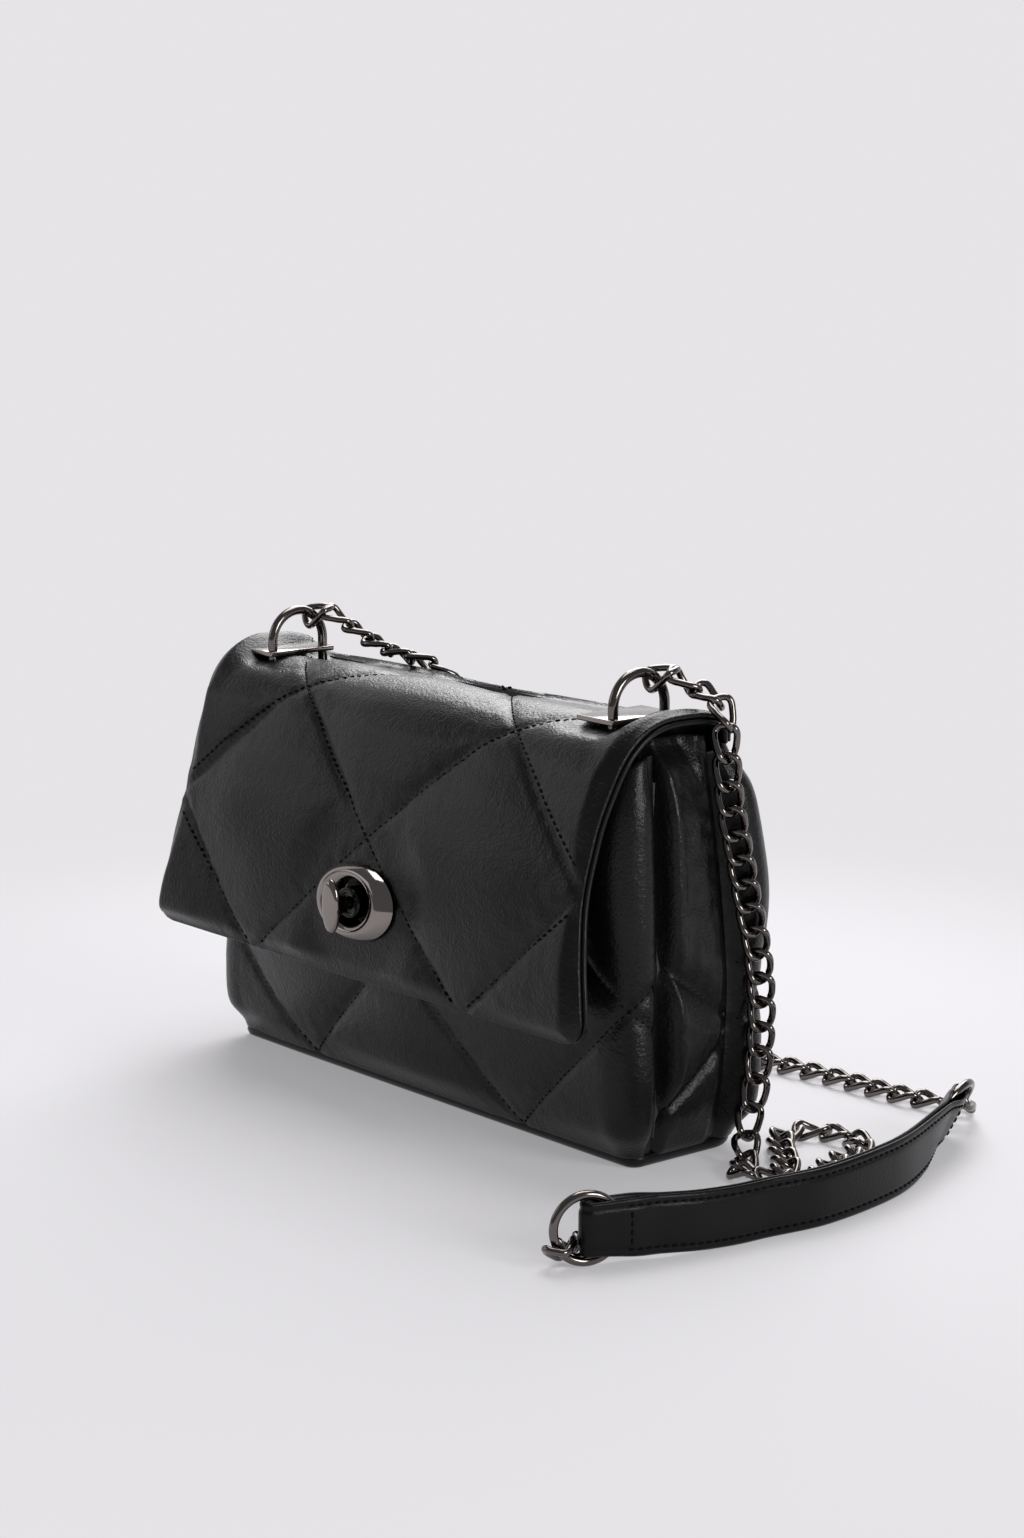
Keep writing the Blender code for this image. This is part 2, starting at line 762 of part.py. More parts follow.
def lock_bezel(slot, parent):
    sides = 32
    rings = []
    for way_in, rise in bezel_dome_shares:
        wide = bezel_half_width + (bezel_hole_half_width - bezel_half_width) * way_in
        high = bezel_half_height + (bezel_hole_half_height - bezel_half_height) * way_in
        rings.append(flap_oval(wide, high, bezel_seat + bezel_rise * rise, sides))
    tail = keeper_seat - keeper_thickness
    sleeve_w, sleeve_h = bezel_hole_half_width + sleeve_wall, bezel_hole_half_height + sleeve_wall
    rings.append(flap_oval(bezel_hole_half_width, bezel_hole_half_height, tail, sides))
    rings.append(flap_oval(sleeve_w, sleeve_h, tail, sides))
    rings.append(flap_oval(sleeve_w, sleeve_h, bezel_seat, sides))
    return add_object("lock_bezel", loft("lock_bezel", rings, closed=True), slot, parent)


def bezel_keeper(slot, parent):
    far = keeper_seat - keeper_thickness
    hole_w = bezel_hole_half_width + sleeve_wall + clearance
    hole_h = bezel_hole_half_height + sleeve_wall + clearance
    rings = [
        flap_oval(keeper_half_width, keeper_half_height, keeper_seat, 32),
        flap_oval(keeper_half_width, keeper_half_height, far, 32),
        flap_oval(hole_w, hole_h, far, 32),
        flap_oval(hole_w, hole_h, keeper_seat, 32),
    ]
    return add_object("bezel_keeper", loft("bezel_keeper", rings, closed=True), slot, parent)


def lock_post_parts(metal, dark):
    plate_back = body_face - clearance
    plate_front = plate_back - post_plate_thickness
    z = lock_height
    plate = [
        oval(post_plate_half_width, post_plate_half_height, plate_back, z, 24),
        oval(post_plate_half_width, post_plate_half_height, plate_front, z, 24),
    ]
    add_object("lock_base_plate", loft("lock_base_plate", plate), metal)
    foot = plate_front - clearance
    tip = foot - post_length
    bottom = tip + stem_depth + clearance
    rings = []
    for along, taper in post_taper_shares:
        wide = post_base_half_width + (post_tip_half_width - post_base_half_width) * taper
        high = post_base_half_height + (post_tip_half_height - post_base_half_height) * taper
        rings.append(oval(wide, high, foot + (tip + clearance - foot) * along, z, 24))
    rings += [
        oval(post_tip_half_width - clearance, post_tip_half_height - clearance, tip, z, 24),
        oval(post_bore_radius, post_bore_radius, tip, z, 24),
        oval(post_bore_radius, post_bore_radius, bottom, z, 24),
    ]
    add_object("lock_post", loft("lock_post", rings), dark)
    inner = body_wall - body_size(lock_height)[0] - front_belly
    cut_back = inner + clearance
    cut_front = inner - anchor_thickness - clearance
    return tip, cut_front, cut_back


def lock_toggle(slot, tip, pivot):
    z = lock_height
    neck_end = tip - neck_length
    rings = [
        oval(stem_radius, stem_radius, tip + stem_depth - clearance, z, 24),
        oval(stem_radius, stem_radius, tip - clearance, z, 24),
    ]
    for along in neck_shares:
        rings.append(oval(neck_half_width, neck_half_height, tip - neck_length * along, z, 24))
    for along, wide, high in blade_shares:
        rings.append(oval(
            blade_half_width * wide, blade_half_height * high, neck_end - blade_thickness * along, z, 24
        ))
    return add_object("lock_toggle", loft("lock_toggle", rings), slot, pivot)


# Staple rings
def tube(name, centres, radius, sides, frames=None):
    rings = []
    for k, centre in enumerate(centres):
        near, far = centres[max(k - 1, 0)], centres[min(k + 1, len(centres) - 1)]
        along = (far - near).normalized()
        side = Vector((1, 0, 0)) if frames is None else frames[k]
        up = along.cross(side).normalized()
        side = up.cross(along).normalized()
        rings.append([
            centre + radius * (math.cos(turn) * side + math.sin(turn) * up)
            for turn in (2 * math.pi * j / sides for j in range(sides))
        ])
    return loft(name, rings)


def staple_ring(name, x, slot, parent):
    half = staple_span / 2
    middle = staple_front_y + half
    arch = staple_rise - staple_leg
    foot = washer_level
    centres = [Vector((x, middle - half, foot)), Vector((x, middle - half, plate_level))]
    steps = 12
    for k in range(steps + 1):
        turn = math.pi * k / steps
        centres.append(Vector((
            x,
            middle - half * math.cos(turn),
            plate_level + plate_thickness + staple_leg + arch * math.sin(turn),
        )))
    centres += [Vector((x, middle + half, plate_level)), Vector((x, middle + half, foot))]
    return add_object(name, tube(name, centres, staple_wire / 2, 10), slot, parent)


def box_between(low, high):
    return [
        Vector((x, y, z))
        for z in (low[2], high[2])
        for x, y in ((low[0], low[1]), (high[0], low[1]), (high[0], high[1]), (low[0], high[1]))
    ]


def pierced_plate(name, x, level, thickness, margin, slot, parent, width):
    half = staple_wire / 2 + margin
    right = x + half
    low_y = staple_front_y - half
    high_y = staple_front_y + staple_span + half
    corners = box_between((right - width, low_y, level), (right, high_y, level + thickness))
    made = add_object(name, loft(name, [corners[:4], corners[4:]]), slot, parent)
    return made


def plate_seat(name, x, parent):
    # Room for the plate where the roof crowns into it
    half = staple_wire / 2 + plate_margin
    right = x + half + clearance
    low_y, high_y = staple_front_y - half - clearance, staple_front_y + staple_span + half + clearance
    corners = box_between(
        (right - plate_width - 2 * clearance, low_y, plate_level - clearance),
        (right, high_y, plate_level + plate_length),
    )
    return add_object(name, loft(name, [corners[:4], corners[4:]]), tool_slot, parent)


def leg_cutter(name, x, parent):
    low, high = plate_level - body_wall * 5, plate_level + plate_thickness * 3
    radius = staple_wire / 2 + clearance
    made = []
    for share in (0, 1):
        y = staple_front_y + share * staple_span
        rings = [
            [
                Vector((x + radius * math.cos(t), y + radius * math.sin(t), z))
                for t in (2 * math.pi * j / 12 for j in range(12))
            ]
            for z in (low, high)
        ]
        cutter = add_object(f"{name}_{share}", loft(name, rings), tool_slot, parent)
        made.append(cutter)
    return made


# Chain
def smooth_route(route):
    # Points read from a smooth curve through the route's own points
    knots = [(k, *point, *facing) for k, (point, facing) in enumerate(route)]
    per_knot = 40
    rows = [smooth_rows(knots, k / per_knot) for k in range((len(knots) - 1) * per_knot + 1)]
    return [(Vector(row[:3]), Vector(row[3:]).normalized()) for row in rows]


def walk_route(samples, pitches):
    places = [samples[0]]
    for point, facing in samples:
        if len(places) > len(pitches):
            break
        if (point - places[-1][0]).length >= pitches[len(places) - 1]:
            places.append((point, facing))
    return places


def link_places(route, pitches, last_pitch):
    # Links at the given pitches, then as many more as the route holds, spread to its end
    samples = smooth_route(route)
    filled = walk_route(samples, pitches + [last_pitch] * len(samples))
    more = len(filled) - 1 - len(pitches)
    low, high = last_pitch, last_pitch * 1.2
    for _ in range(16):
        middle = (low + high) / 2
        if len(walk_route(samples, pitches + [middle] * more)) > len(pitches) + more:
            low = middle
        else:
            high = middle
    print("links in the last stretch", more + 1, "pitch in mm", round(low * 1000, 3), "of", round(last_pitch * 1000, 3))
    return walk_route(samples, pitches + [low] * more)


def beside_bag(route):
    return [((x + body_width / 2, y, z), facing) for (x, y, z), facing in route]


def staple_thread(x, way, second_way):
    # The link on the staple ring and the next one hooked into it
    half = staple_span / 2
    turn = math.radians(staple_turn_degrees)
    rise = plate_level + plate_thickness + staple_leg
    wide, high = half * math.cos(turn), (staple_rise - staple_leg) * math.sin(turn)
    on_ring = Vector((x, staple_front_y + half + wide, rise + high))
    tangent = Vector((0, high / (staple_rise - staple_leg) * half, -wide / half * staple_rise))
    way, second_way = Vector(way).normalized(), Vector(second_way).normalized()
    half_length = (link_length - wire) / 2
    first = on_ring + way * (half_length - (staple_wire + wire) / 2 - link_play)
    second = first + way * (half_length - wire * (1 - link_weld_share)) + second_way * half_length
    return (first, tangent.normalized(), way), (second, Vector((0, 0, 1)), second_way)


def ring_thread(end, degrees, way):
    # The last two links of the chain, the very last hooked on the pad's ring
    turn = math.radians(degrees)
    run = 0 if end < 0 else pad_length
    centre, along, out, up = pad_frame(run)
    outward = math.cos(turn) * along * end - math.sin(turn) * up
    tangent = math.sin(turn) * along * end + math.cos(turn) * up
    on_ring = centre + along * end * pad_ring_reach + pad_ring_radius * outward
    way = Vector(way).normalized()
    half_length = (link_length - wire) / 2
    last = on_ring - way * (half_length - (pad_ring_wire + wire) / 2 - 2 * link_play)
    before = last - way * (2 * half_length - wire * (1 - link_weld_share))
    before.z = max(before.z, link_twist + wire)
    return (before, Vector((0, 0, 1))), (last, tangent)


def link_rings(place, before, after, half_length, points, sides):
    centre, facing = place
    along = (after - before).normalized()
    across = facing.cross(along).normalized()
    out = along.cross(across).normalized()
    half_width = (link_width - wire) / 2
    half_length /= math.cos(math.pi / points) ** link_square_share
    path = []
    for k in range(points):
        turn = 2 * math.pi * (k + 0.5) / points
        stretch = math.copysign(abs(math.cos(turn)) ** link_square_share, math.cos(turn))
        spread = math.copysign(abs(math.sin(turn)) ** link_square_share, math.sin(turn))
        path.append(
            centre
            + half_length * stretch * along
            + half_width * spread * across
            + link_twist * math.sin(2 * turn) * out
        )
    rings = []
    for k, point in enumerate(path):
        way = (path[(k + 1) % points] - path[k - 1]).normalized()
        side = (point - centre).normalized()
        up = way.cross(side).normalized()
        side = up.cross(way).normalized()
        rings.append([
            point + wire / 2 * (math.cos(t) * side + math.sin(t) * up)
            for t in (2 * math.pi * j / sides for j in range(sides))
        ])
    return rings


def joined_links(name, all_rings, slot):
    points, faces = [], []
    for rings in all_rings:
        start = len(points)
        points += [point for ring in rings for point in ring]
        faces += [
            tuple(start + k for k in face)
            for face in ring_faces(len(rings), len(rings[0]), True)
        ]
    return add_object(name, mesh_from_faces(name, points, faces, 60), slot)


def chain(start, route, stretches, slot):
    # Each stretch: name, count of links, loose links or joined ones, seen or hidden.
    # The last one has as many links as reach the pad's ring.
    half_length = (link_length - wire) / 2
    loose = 2 * half_length - wire - link_play
    tight = 2 * half_length - wire * (1 - link_weld_share)
    plan = [stretch for stretch in stretches for _ in range(stretch[1])]
    pitches = [
        tight if this is following and this[2] == "joined" else loose
        for this, following in zip(plan, plan[1:])
    ]
    second = (start[1][0], start[1][1])
    places = [start[0][:2], *link_places((second, *route), pitches[1:], tight)]
    stretches = (*stretches[:-1], (stretches[-1][0], len(places), *stretches[-1][2:]))
    first = 0
    for name, count, kind, seen in stretches:
        points = link_points if seen else hidden_link_points
        sides = link_sides if seen else hidden_link_sides
        rings = []
        for k in range(first, min(first + count, len(places))):
            before = places[max(k - 1, 0)][0]
            after = places[min(k + 1, len(places) - 1)][0]
            if k < 2:
                before, after = places[k][0], places[k][0] + start[k][2]
            rings.append(link_rings(places[k], before, after, half_length, points, sides))
        first += count
        if kind == "loose":
            for k, ring in enumerate(rings):
                joined_links(f"{name}_{k + 1:02d}", [ring], slot)
        else:
            every_other = joined_links(name, rings[0::2], slot)
            between = joined_links(f"{name}_between", rings[1::2], slot)
            cut(every_other, between, "UNION", "MANIFOLD")


# Shoulder pad
def pad_curve():
    knots = [(k, x + body_width / 2, y) for k, (x, y) in enumerate(pad_route)]
    per_knot = 20
    points = [
        Vector((*smooth_rows(knots, k / per_knot), 0))
        for k in range((len(knots) - 1) * per_knot + 1)
    ]
    lengths = [0]
    for a, b in zip(points, points[1:]):
        lengths.append(lengths[-1] + (b - a).length)
    return points, lengths


pad_points, pad_lengths = pad_curve()
pad_length = pad_lengths[-1]


def pad_at(run):
    run = min(max(run, 0), pad_length)
    at = 0
    while at < len(pad_lengths) - 2 and pad_lengths[at + 1] < run:
        at += 1
    t = (run - pad_lengths[at]) / (pad_lengths[at + 1] - pad_lengths[at])
    centre = pad_points[at].lerp(pad_points[at + 1], t)
    near, far = max(at - 2, 0), min(at + 3, len(pad_points) - 1)
    along = (pad_points[far] - pad_points[near]).normalized()
    return centre, along, Vector((along.y, -along.x, 0))


def ply_offset(run):
    # Half the gap between the plies opens up round each ring
    closed = (pad_ply + clearance) / 2
    opened = (pad_ply + pad_pocket) / 2
    from_end = min(run, pad_length - run)
    return opened + (closed - opened) * ease((from_end - pad_pocket_length) / pad_pocket_length)


def pad_frame(run):
    # Middle of the strap, its way along, its outer side and its upward edge
    flat, along, level_out = pad_at(run)
    lean = math.radians(pad_lean_degrees) * ease((run / pad_length - pad_lean_share) / (1 - pad_lean_share))
    up = math.cos(lean) * Vector((0, 0, 1)) - math.sin(lean) * level_out
    out = math.cos(lean) * level_out + math.sin(lean) * Vector((0, 0, 1))
    from_end = min(run, pad_length - run)
    strap = math.cos(lean) * pad_height / 2 + math.sin(lean) * (ply_offset(run) + pad_ply)
    ring = math.cos(lean) * pad_ring_radius + pad_ring_wire / 2
    level = max(strap, strap + (ring - strap) * (1 - ease(from_end / pad_settle))) + clearance
    return Vector((flat.x, flat.y, level)), along, out, up


def pad_half(run):
    from_end = min(run, pad_length - run)
    return (pad_fold_height + (pad_height - pad_fold_height) * ease(3 * from_end / pad_settle)) / 2


def ribbon(name, stations, thickness, slot):
    rings = []
    for centre, out, up, half in stations:
        rings.append([
            centre + side * out * thickness / 2 + rise * up * half
            for side, rise in ((-1, -1), (1, -1), (1, 1), (-1, 1))
        ])
    return add_object(name, loft(name, rings), slot)


def pad_station(run, side):
    centre, _, out, up = pad_frame(run)
    return centre + side * ply_offset(run) * out, side * out, up, pad_half(run)


def pad_fold(end):
    run = 0 if end < 0 else pad_length
    centre, along, out, up = pad_frame(run)
    radius = ply_offset(run)
    stations = []
    for k in range(1, 6):
        turn = math.pi * k / 6
        way = math.cos(turn) * out + math.sin(turn) * along * end
        stations.append((centre + radius * way, way, up, pad_half(run)))
    return stations


def pad_leather(slot):
    tab_runs = [pad_tab * share for share in (1, 0.85, 0.7, 0.55, 0.4, 0.2, 0)]
    stations = [pad_station(run, -1) for run in tab_runs]
    stations += pad_fold(-1)[::-1]
    stations += [pad_station(pad_length * k / pad_steps, 1) for k in range(pad_steps + 1)]
    stations += pad_fold(1)
    stations += [pad_station(pad_length - run, -1) for run in tab_runs[::-1]]
    return ribbon("pad_leather", stations, pad_ply, slot)


def pad_backing(slot):
    start = pad_tab + clearance
    end = pad_length - start
    runs = [pad_length * k / pad_steps for k in range(pad_steps + 1)]
    runs = [start, *(run for run in runs if start < run < end), end]
    return ribbon("pad_backing", [pad_station(run, -1) for run in runs], pad_ply, slot)


def pad_ring(name, end, slot):
    run = 0 if end < 0 else pad_length
    centre, along, out, up = pad_frame(run)
    middle = centre + along * end * pad_ring_reach
    print(name, middle)
    rings = []
    for k in range(24):
        turn = 2 * math.pi * k / 24
        way = math.cos(turn) * along + math.sin(turn) * up
        point = middle + pad_ring_radius * way
        rings.append([
            point + pad_ring_wire / 2 * (math.cos(t) * way + math.sin(t) * out)
            for t in (2 * math.pi * j / 6 for j in range(6))
        ])
    return add_object(name, loft(name, rings, closed=True), slot)


clear_scene()
tool_slot = material("cutter", leather_colour, 1, 0)
leather = material("leather", leather_colour, 0.42, 0)
inside = material("lining_cloth", lining_colour, 0.8, 0)
board = material("board", board_colour, 0.9, 0)
gunmetal = material("gunmetal", metal_colour, 0.16, 1)
dark_metal = material("dark_metal", dark_metal_colour, 0.22, 1)

# Body of the bag
front = face_wall("front_panel", -1, front_top, front_side_rise, leather)
face_wall("back_panel", 1, back_top, back_side_rise, leather)
gusset_wall("gusset_right", 1, leather)
gusset_wall("gusset_left", -1, leather)
base_panel(leather)
base_board(board)
lining_box(inside)
slip_pocket(inside)

# Flap on its fold at the top of the back
fold_y, fold_z, _ = flap_points[0]
flap_hinge = bpy.data.objects.new("flap_hinge", None)
flap_hinge.location = (0, fold_y, fold_z)
bpy.context.scene.collection.objects.link(flap_hinge)
bpy.context.view_layer.update()
shell = flap_shell(leather, flap_hinge)
skin = flap_lining(leather, flap_hinge)
lock_bezel(gunmetal, flap_hinge)
bezel_keeper(dark_metal, flap_hinge)

# Hole for the lock through the flap
hole_w = bezel_hole_half_width + sleeve_wall + clearance
hole_h = bezel_hole_half_height + sleeve_wall + clearance
hole_rings = [
    flap_oval(hole_w, hole_h, rise, 32) for rise in (bezel_rise, -flap_inside - bezel_rise)
]
hole = add_object("lock_hole", loft("lock_hole", hole_rings), tool_slot, flap_hinge)
cut(shell, hole)
cut(skin, hole)

# Lock on the front wall
post_tip, anchor_front, anchor_back = lock_post_parts(gunmetal, dark_metal)
recess_rings = [
    oval(post_plate_half_width + clearance, post_plate_half_height + clearance, y, lock_height, 24)
    for y in (anchor_front, anchor_back + body_wall)
]
recess = add_object("anchor_recess", loft("anchor_recess", recess_rings), tool_slot)
cut(front, recess)
anchor_rings = [
    oval(post_plate_half_width, post_plate_half_height, y, lock_height, 24)
    for y in (anchor_front + clearance, anchor_back - clearance)
]
add_object("lock_anchor_plate", loft("lock_anchor_plate", anchor_rings), dark_metal)
toggle_pivot = bpy.data.objects.new("toggle_pivot", None)
toggle_pivot.location = (0, post_tip, lock_height)
bpy.context.scene.collection.objects.link(toggle_pivot)
bpy.context.view_layer.update()
lock_toggle(gunmetal, post_tip, toggle_pivot)

# Staple rings, plates and the washers under the roof
for side_name, x in (("left", -staple_x), ("right", staple_x)):
    legs = leg_cutter(f"legs_{side_name}", x, flap_hinge)
    seat = plate_seat(f"seat_{side_name}", x, flap_hinge)
    cut(shell, seat)
    staple_ring(f"staple_ring_{side_name}", x, gunmetal, flap_hinge)
    plate = pierced_plate(
        f"ring_plate_{side_name}", x, plate_level, plate_thickness, plate_margin, gunmetal,
        flap_hinge, plate_width,
    )
    washer = pierced_plate(
        f"ring_washer_{side_name}", x, washer_level, washer_thickness, washer_margin, dark_metal,
        flap_hinge, staple_wire + 2 * washer_margin,
    )
    for cutter in legs:
        for target in (plate, washer, shell, skin):
            cut(target, cutter)

# Chain strap
chain(
    staple_thread(staple_x, staple_link_way, right_second_way),
    (*beside_bag(right_route), *ring_thread(-1, pad_front_turn_degrees, right_last_way)),
    (
        ("chain_top_right", 6, "joined", True), ("chain_link", 11, "loose", True),
        ("chain_pile", 18, "joined", True), ("chain_to_pad", 1, "joined", False),
    ),
    gunmetal,
)
chain(
    staple_thread(-staple_x, staple_link_way, left_second_way),
    (*left_route, *ring_thread(1, pad_rear_turn_degrees, left_last_way)),
    (
        ("chain_top_left", 9, "joined", True), ("chain_back", 8, "joined", False),
        ("chain_floor", 1, "joined", False),
    ),
    gunmetal,
)

# Shoulder pad
pad_leather(leather)
pad_backing(leather)
pad_ring("pad_ring_front", -1, gunmetal)
pad_ring("pad_ring_rear", 1, gunmetal)

print("fold", fold_y, fold_z, "toggle", post_tip, lock_height, "flap length", flap_length)
print("pad length", pad_length, "lock on the flap", lock_y, lock_z, "body face", body_face)
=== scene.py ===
import math

import bmesh
import bpy
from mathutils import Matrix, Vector, noise


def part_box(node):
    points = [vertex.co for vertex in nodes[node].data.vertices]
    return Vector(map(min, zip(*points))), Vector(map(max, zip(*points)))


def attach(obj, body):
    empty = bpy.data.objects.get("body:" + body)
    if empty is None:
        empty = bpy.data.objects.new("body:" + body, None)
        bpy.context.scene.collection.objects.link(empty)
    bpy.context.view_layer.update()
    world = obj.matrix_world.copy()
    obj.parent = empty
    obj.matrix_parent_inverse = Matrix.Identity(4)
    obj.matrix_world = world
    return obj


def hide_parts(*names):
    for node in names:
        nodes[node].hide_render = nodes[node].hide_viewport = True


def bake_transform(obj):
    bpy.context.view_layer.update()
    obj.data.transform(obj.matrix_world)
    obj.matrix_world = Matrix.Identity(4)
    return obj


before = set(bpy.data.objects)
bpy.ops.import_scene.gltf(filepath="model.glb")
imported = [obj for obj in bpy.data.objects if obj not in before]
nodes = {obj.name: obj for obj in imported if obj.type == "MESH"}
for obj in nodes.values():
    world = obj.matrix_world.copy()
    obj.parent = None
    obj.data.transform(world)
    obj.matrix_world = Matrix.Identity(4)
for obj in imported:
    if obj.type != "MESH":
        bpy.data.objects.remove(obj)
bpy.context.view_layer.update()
clearance = 0.0003


def linked(name, data):
    made = bpy.data.objects.new(name, data)
    bpy.context.scene.collection.objects.link(made)
    return made


# Camera
view = {
    "place": (0.9735, -0.7930, 0.3665),
    "yaw": 39.86,
    "pitch": 10.83,
    "focalPixels": 3324.28,
    "imageHeight": 1538,
    "sensor": 36,
}


def setCamera():
    camera = bpy.data.cameras.new("camera")
    camera.sensor_width = view["sensor"]
    camera.lens = view["focalPixels"] * view["sensor"] / view["imageHeight"]
    holder = linked("camera", camera)
    yaw, pitch = math.radians(view["yaw"]), math.radians(view["pitch"])
    forward = Vector((
        -math.cos(yaw) * math.cos(pitch), math.sin(yaw) * math.cos(pitch), -math.sin(pitch),
    ))
    holder.location = view["place"]
    holder.rotation_euler = forward.to_track_quat("-Z", "Y").to_euler()
    bpy.context.scene.camera = holder


setCamera()
bpy.context.scene.view_settings.view_transform = "Standard"


# Shader maths as Python expressions
class Value:
    def __init__(self, tree, socket):
        self.tree = tree
        self.socket = socket

    def maths(self, operation, *terms):
        node = self.tree.nodes.new("ShaderNodeMath")
        node.operation = operation
        for place, term in zip(node.inputs, terms):
            if isinstance(term, Value):
                self.tree.links.new(term.socket, place)
            else:
                place.default_value = term
        return Value(self.tree, node.outputs[0])

    def __add__(self, other):
        return self.maths("ADD", self, other)

    def __radd__(self, other):
        return self.maths("ADD", other, self)

    def __sub__(self, other):
        return self.maths("SUBTRACT", self, other)

    def __rsub__(self, other):
        return self.maths("SUBTRACT", other, self)

    def __mul__(self, other):
        return self.maths("MULTIPLY", self, other)

    def __rmul__(self, other):
        return self.maths("MULTIPLY", other, self)


class Finish:
    def __init__(self, name):
        self.material = bpy.data.materials.new(name)
        self.material.use_nodes = True
        self.tree = self.material.node_tree
        self.shader = self.tree.nodes["Principled BSDF"]

    def node(self, kind, settings, values, output=0):
        made = self.tree.nodes.new(kind)
        for key, value in settings.items():
            setattr(made, key, value)
        for key, value in values.items():
            if isinstance(value, Value):
                self.tree.links.new(value.socket, made.inputs[key])
            else:
                made.inputs[key].default_value = value
        return Value(self.tree, made.outputs[output])

    def place(self):
        return self.node("ShaderNodeTexCoord", {}, {}, "Object")

    def clouds(self, at, scale, detail, **more):
        return self.node("ShaderNodeTexNoise", {}, {"Vector": at, "Scale": scale, "Detail": detail, **more})

    def colour(self, factor, low, high):
        return self.node(
            "ShaderNodeMix", {"data_type": "RGBA"}, {"Factor": factor, 6: (*low, 1), 7: (*high, 1)}, 2,
        )

    def bump(self, height, strength, distance):
        return self.node(
            "ShaderNodeBump", {}, {"Height": height, "Strength": strength, "Distance": distance}
        )

    def give(self, **inputs):
        for key, value in inputs.items():
            place = self.shader.inputs[key.replace("_", " ")]
            if isinstance(value, Value):
                self.tree.links.new(value.socket, place)
            else:
                place.default_value = value
        return self.material


# What all finishes of a kind share
noiseMiddle = 0.5
hide = {
    "cloudDetail": 4, "cellSmooth": 0.5, "crinkleDetail": 6, "crinkleRough": 0.62, "crinkleWarp": 1.4,
    "fineScale": 2.4, "fineDetail": 3, "cellShare": 0.5, "fineShare": 0.25, "cloudRough": 0.12,
    "fineRough": 0.06, "depth": 0.0004,
}
polish = {
    "cloud": 60, "cloudDetail": 3, "rub": 900, "rubDetail": 2, "rubRough": 0.05, "relief": 0.04,
    "depth": 0.0004,
}
yarn = {"detail": 2, "rough": 0.7, "relief": 0.3, "depth": 0.0001, "shine": 0.12}
cloth = {
    "cloud": 30, "cloudDetail": 4, "cloudShare": 0.3, "rough": 0.85, "relief": 0.35, "depth": 0.0002,
    "sheen": 0.25,
}


def leatherFinish(name, look):
    made = Finish(name)
    at = made.place()
    cloud = made.clouds(at, look["cloud"], hide["cloudDetail"])
    grain = made.node(
        "ShaderNodeTexVoronoi", {"feature": "SMOOTH_F1"},
        {"Vector": at, "Scale": look["grain"], "Smoothness": hide["cellSmooth"]},
    )
    crinkle = made.clouds(
        at, look["crinkle"], hide["crinkleDetail"],
        Roughness=hide["crinkleRough"], Distortion=hide["crinkleWarp"],
    )
    fine = made.clouds(at, look["grain"] * hide["fineScale"], hide["fineDetail"])
    height = grain * hide["cellShare"] + crinkle * look["crinkleShare"] + fine * hide["fineShare"]
    rough = look["rough"] + (cloud - noiseMiddle) * hide["cloudRough"]
    return made.give(
        Base_Color=made.colour(cloud, look["dark"], look["light"]),
        Roughness=rough + (fine - noiseMiddle) * hide["fineRough"],
        Normal=made.bump(height, look["relief"], hide["depth"]),
        Specular_IOR_Level=look["shine"],
    )


def metalFinish(name, look):
    made = Finish(name)
    at = made.place()
    cloud = made.clouds(at, polish["cloud"], polish["cloudDetail"])
    rub = made.clouds(at, polish["rub"], polish["rubDetail"])
    return made.give(
        Base_Color=made.colour(cloud, look["dark"], look["light"]),
        Metallic=1.0,
        Roughness=look["rough"] + (rub - noiseMiddle) * polish["rubRough"],
        Normal=made.bump(cloud, polish["relief"], polish["depth"]),
    )


def threadFinish(name, look):
    made = Finish(name)
    twist = made.clouds(made.place(), look["weave"], yarn["detail"])
    return made.give(
        Base_Color=made.colour(twist, look["dark"], look["light"]),
        Roughness=yarn["rough"],
        Normal=made.bump(twist, yarn["relief"], yarn["depth"]),
        Specular_IOR_Level=yarn["shine"],
    )


def clothFinish(name, look):
    made = Finish(name)
    at = made.place()
    warp, weft = (
        made.node("ShaderNodeTexWave", {"bands_direction": way}, {"Vector": at, "Scale": look["weave"]})
        for way in ("X", "Z")
    )
    cloud = made.clouds(at, cloth["cloud"], cloth["cloudDetail"])
    height = warp * weft + cloud * cloth["cloudShare"]
    return made.give(
        Base_Color=made.colour(cloud, look["dark"], look["light"]),
        Roughness=cloth["rough"],
        Normal=made.bump(height, cloth["relief"], cloth["depth"]),
        Sheen_Weight=cloth["sheen"],
    )


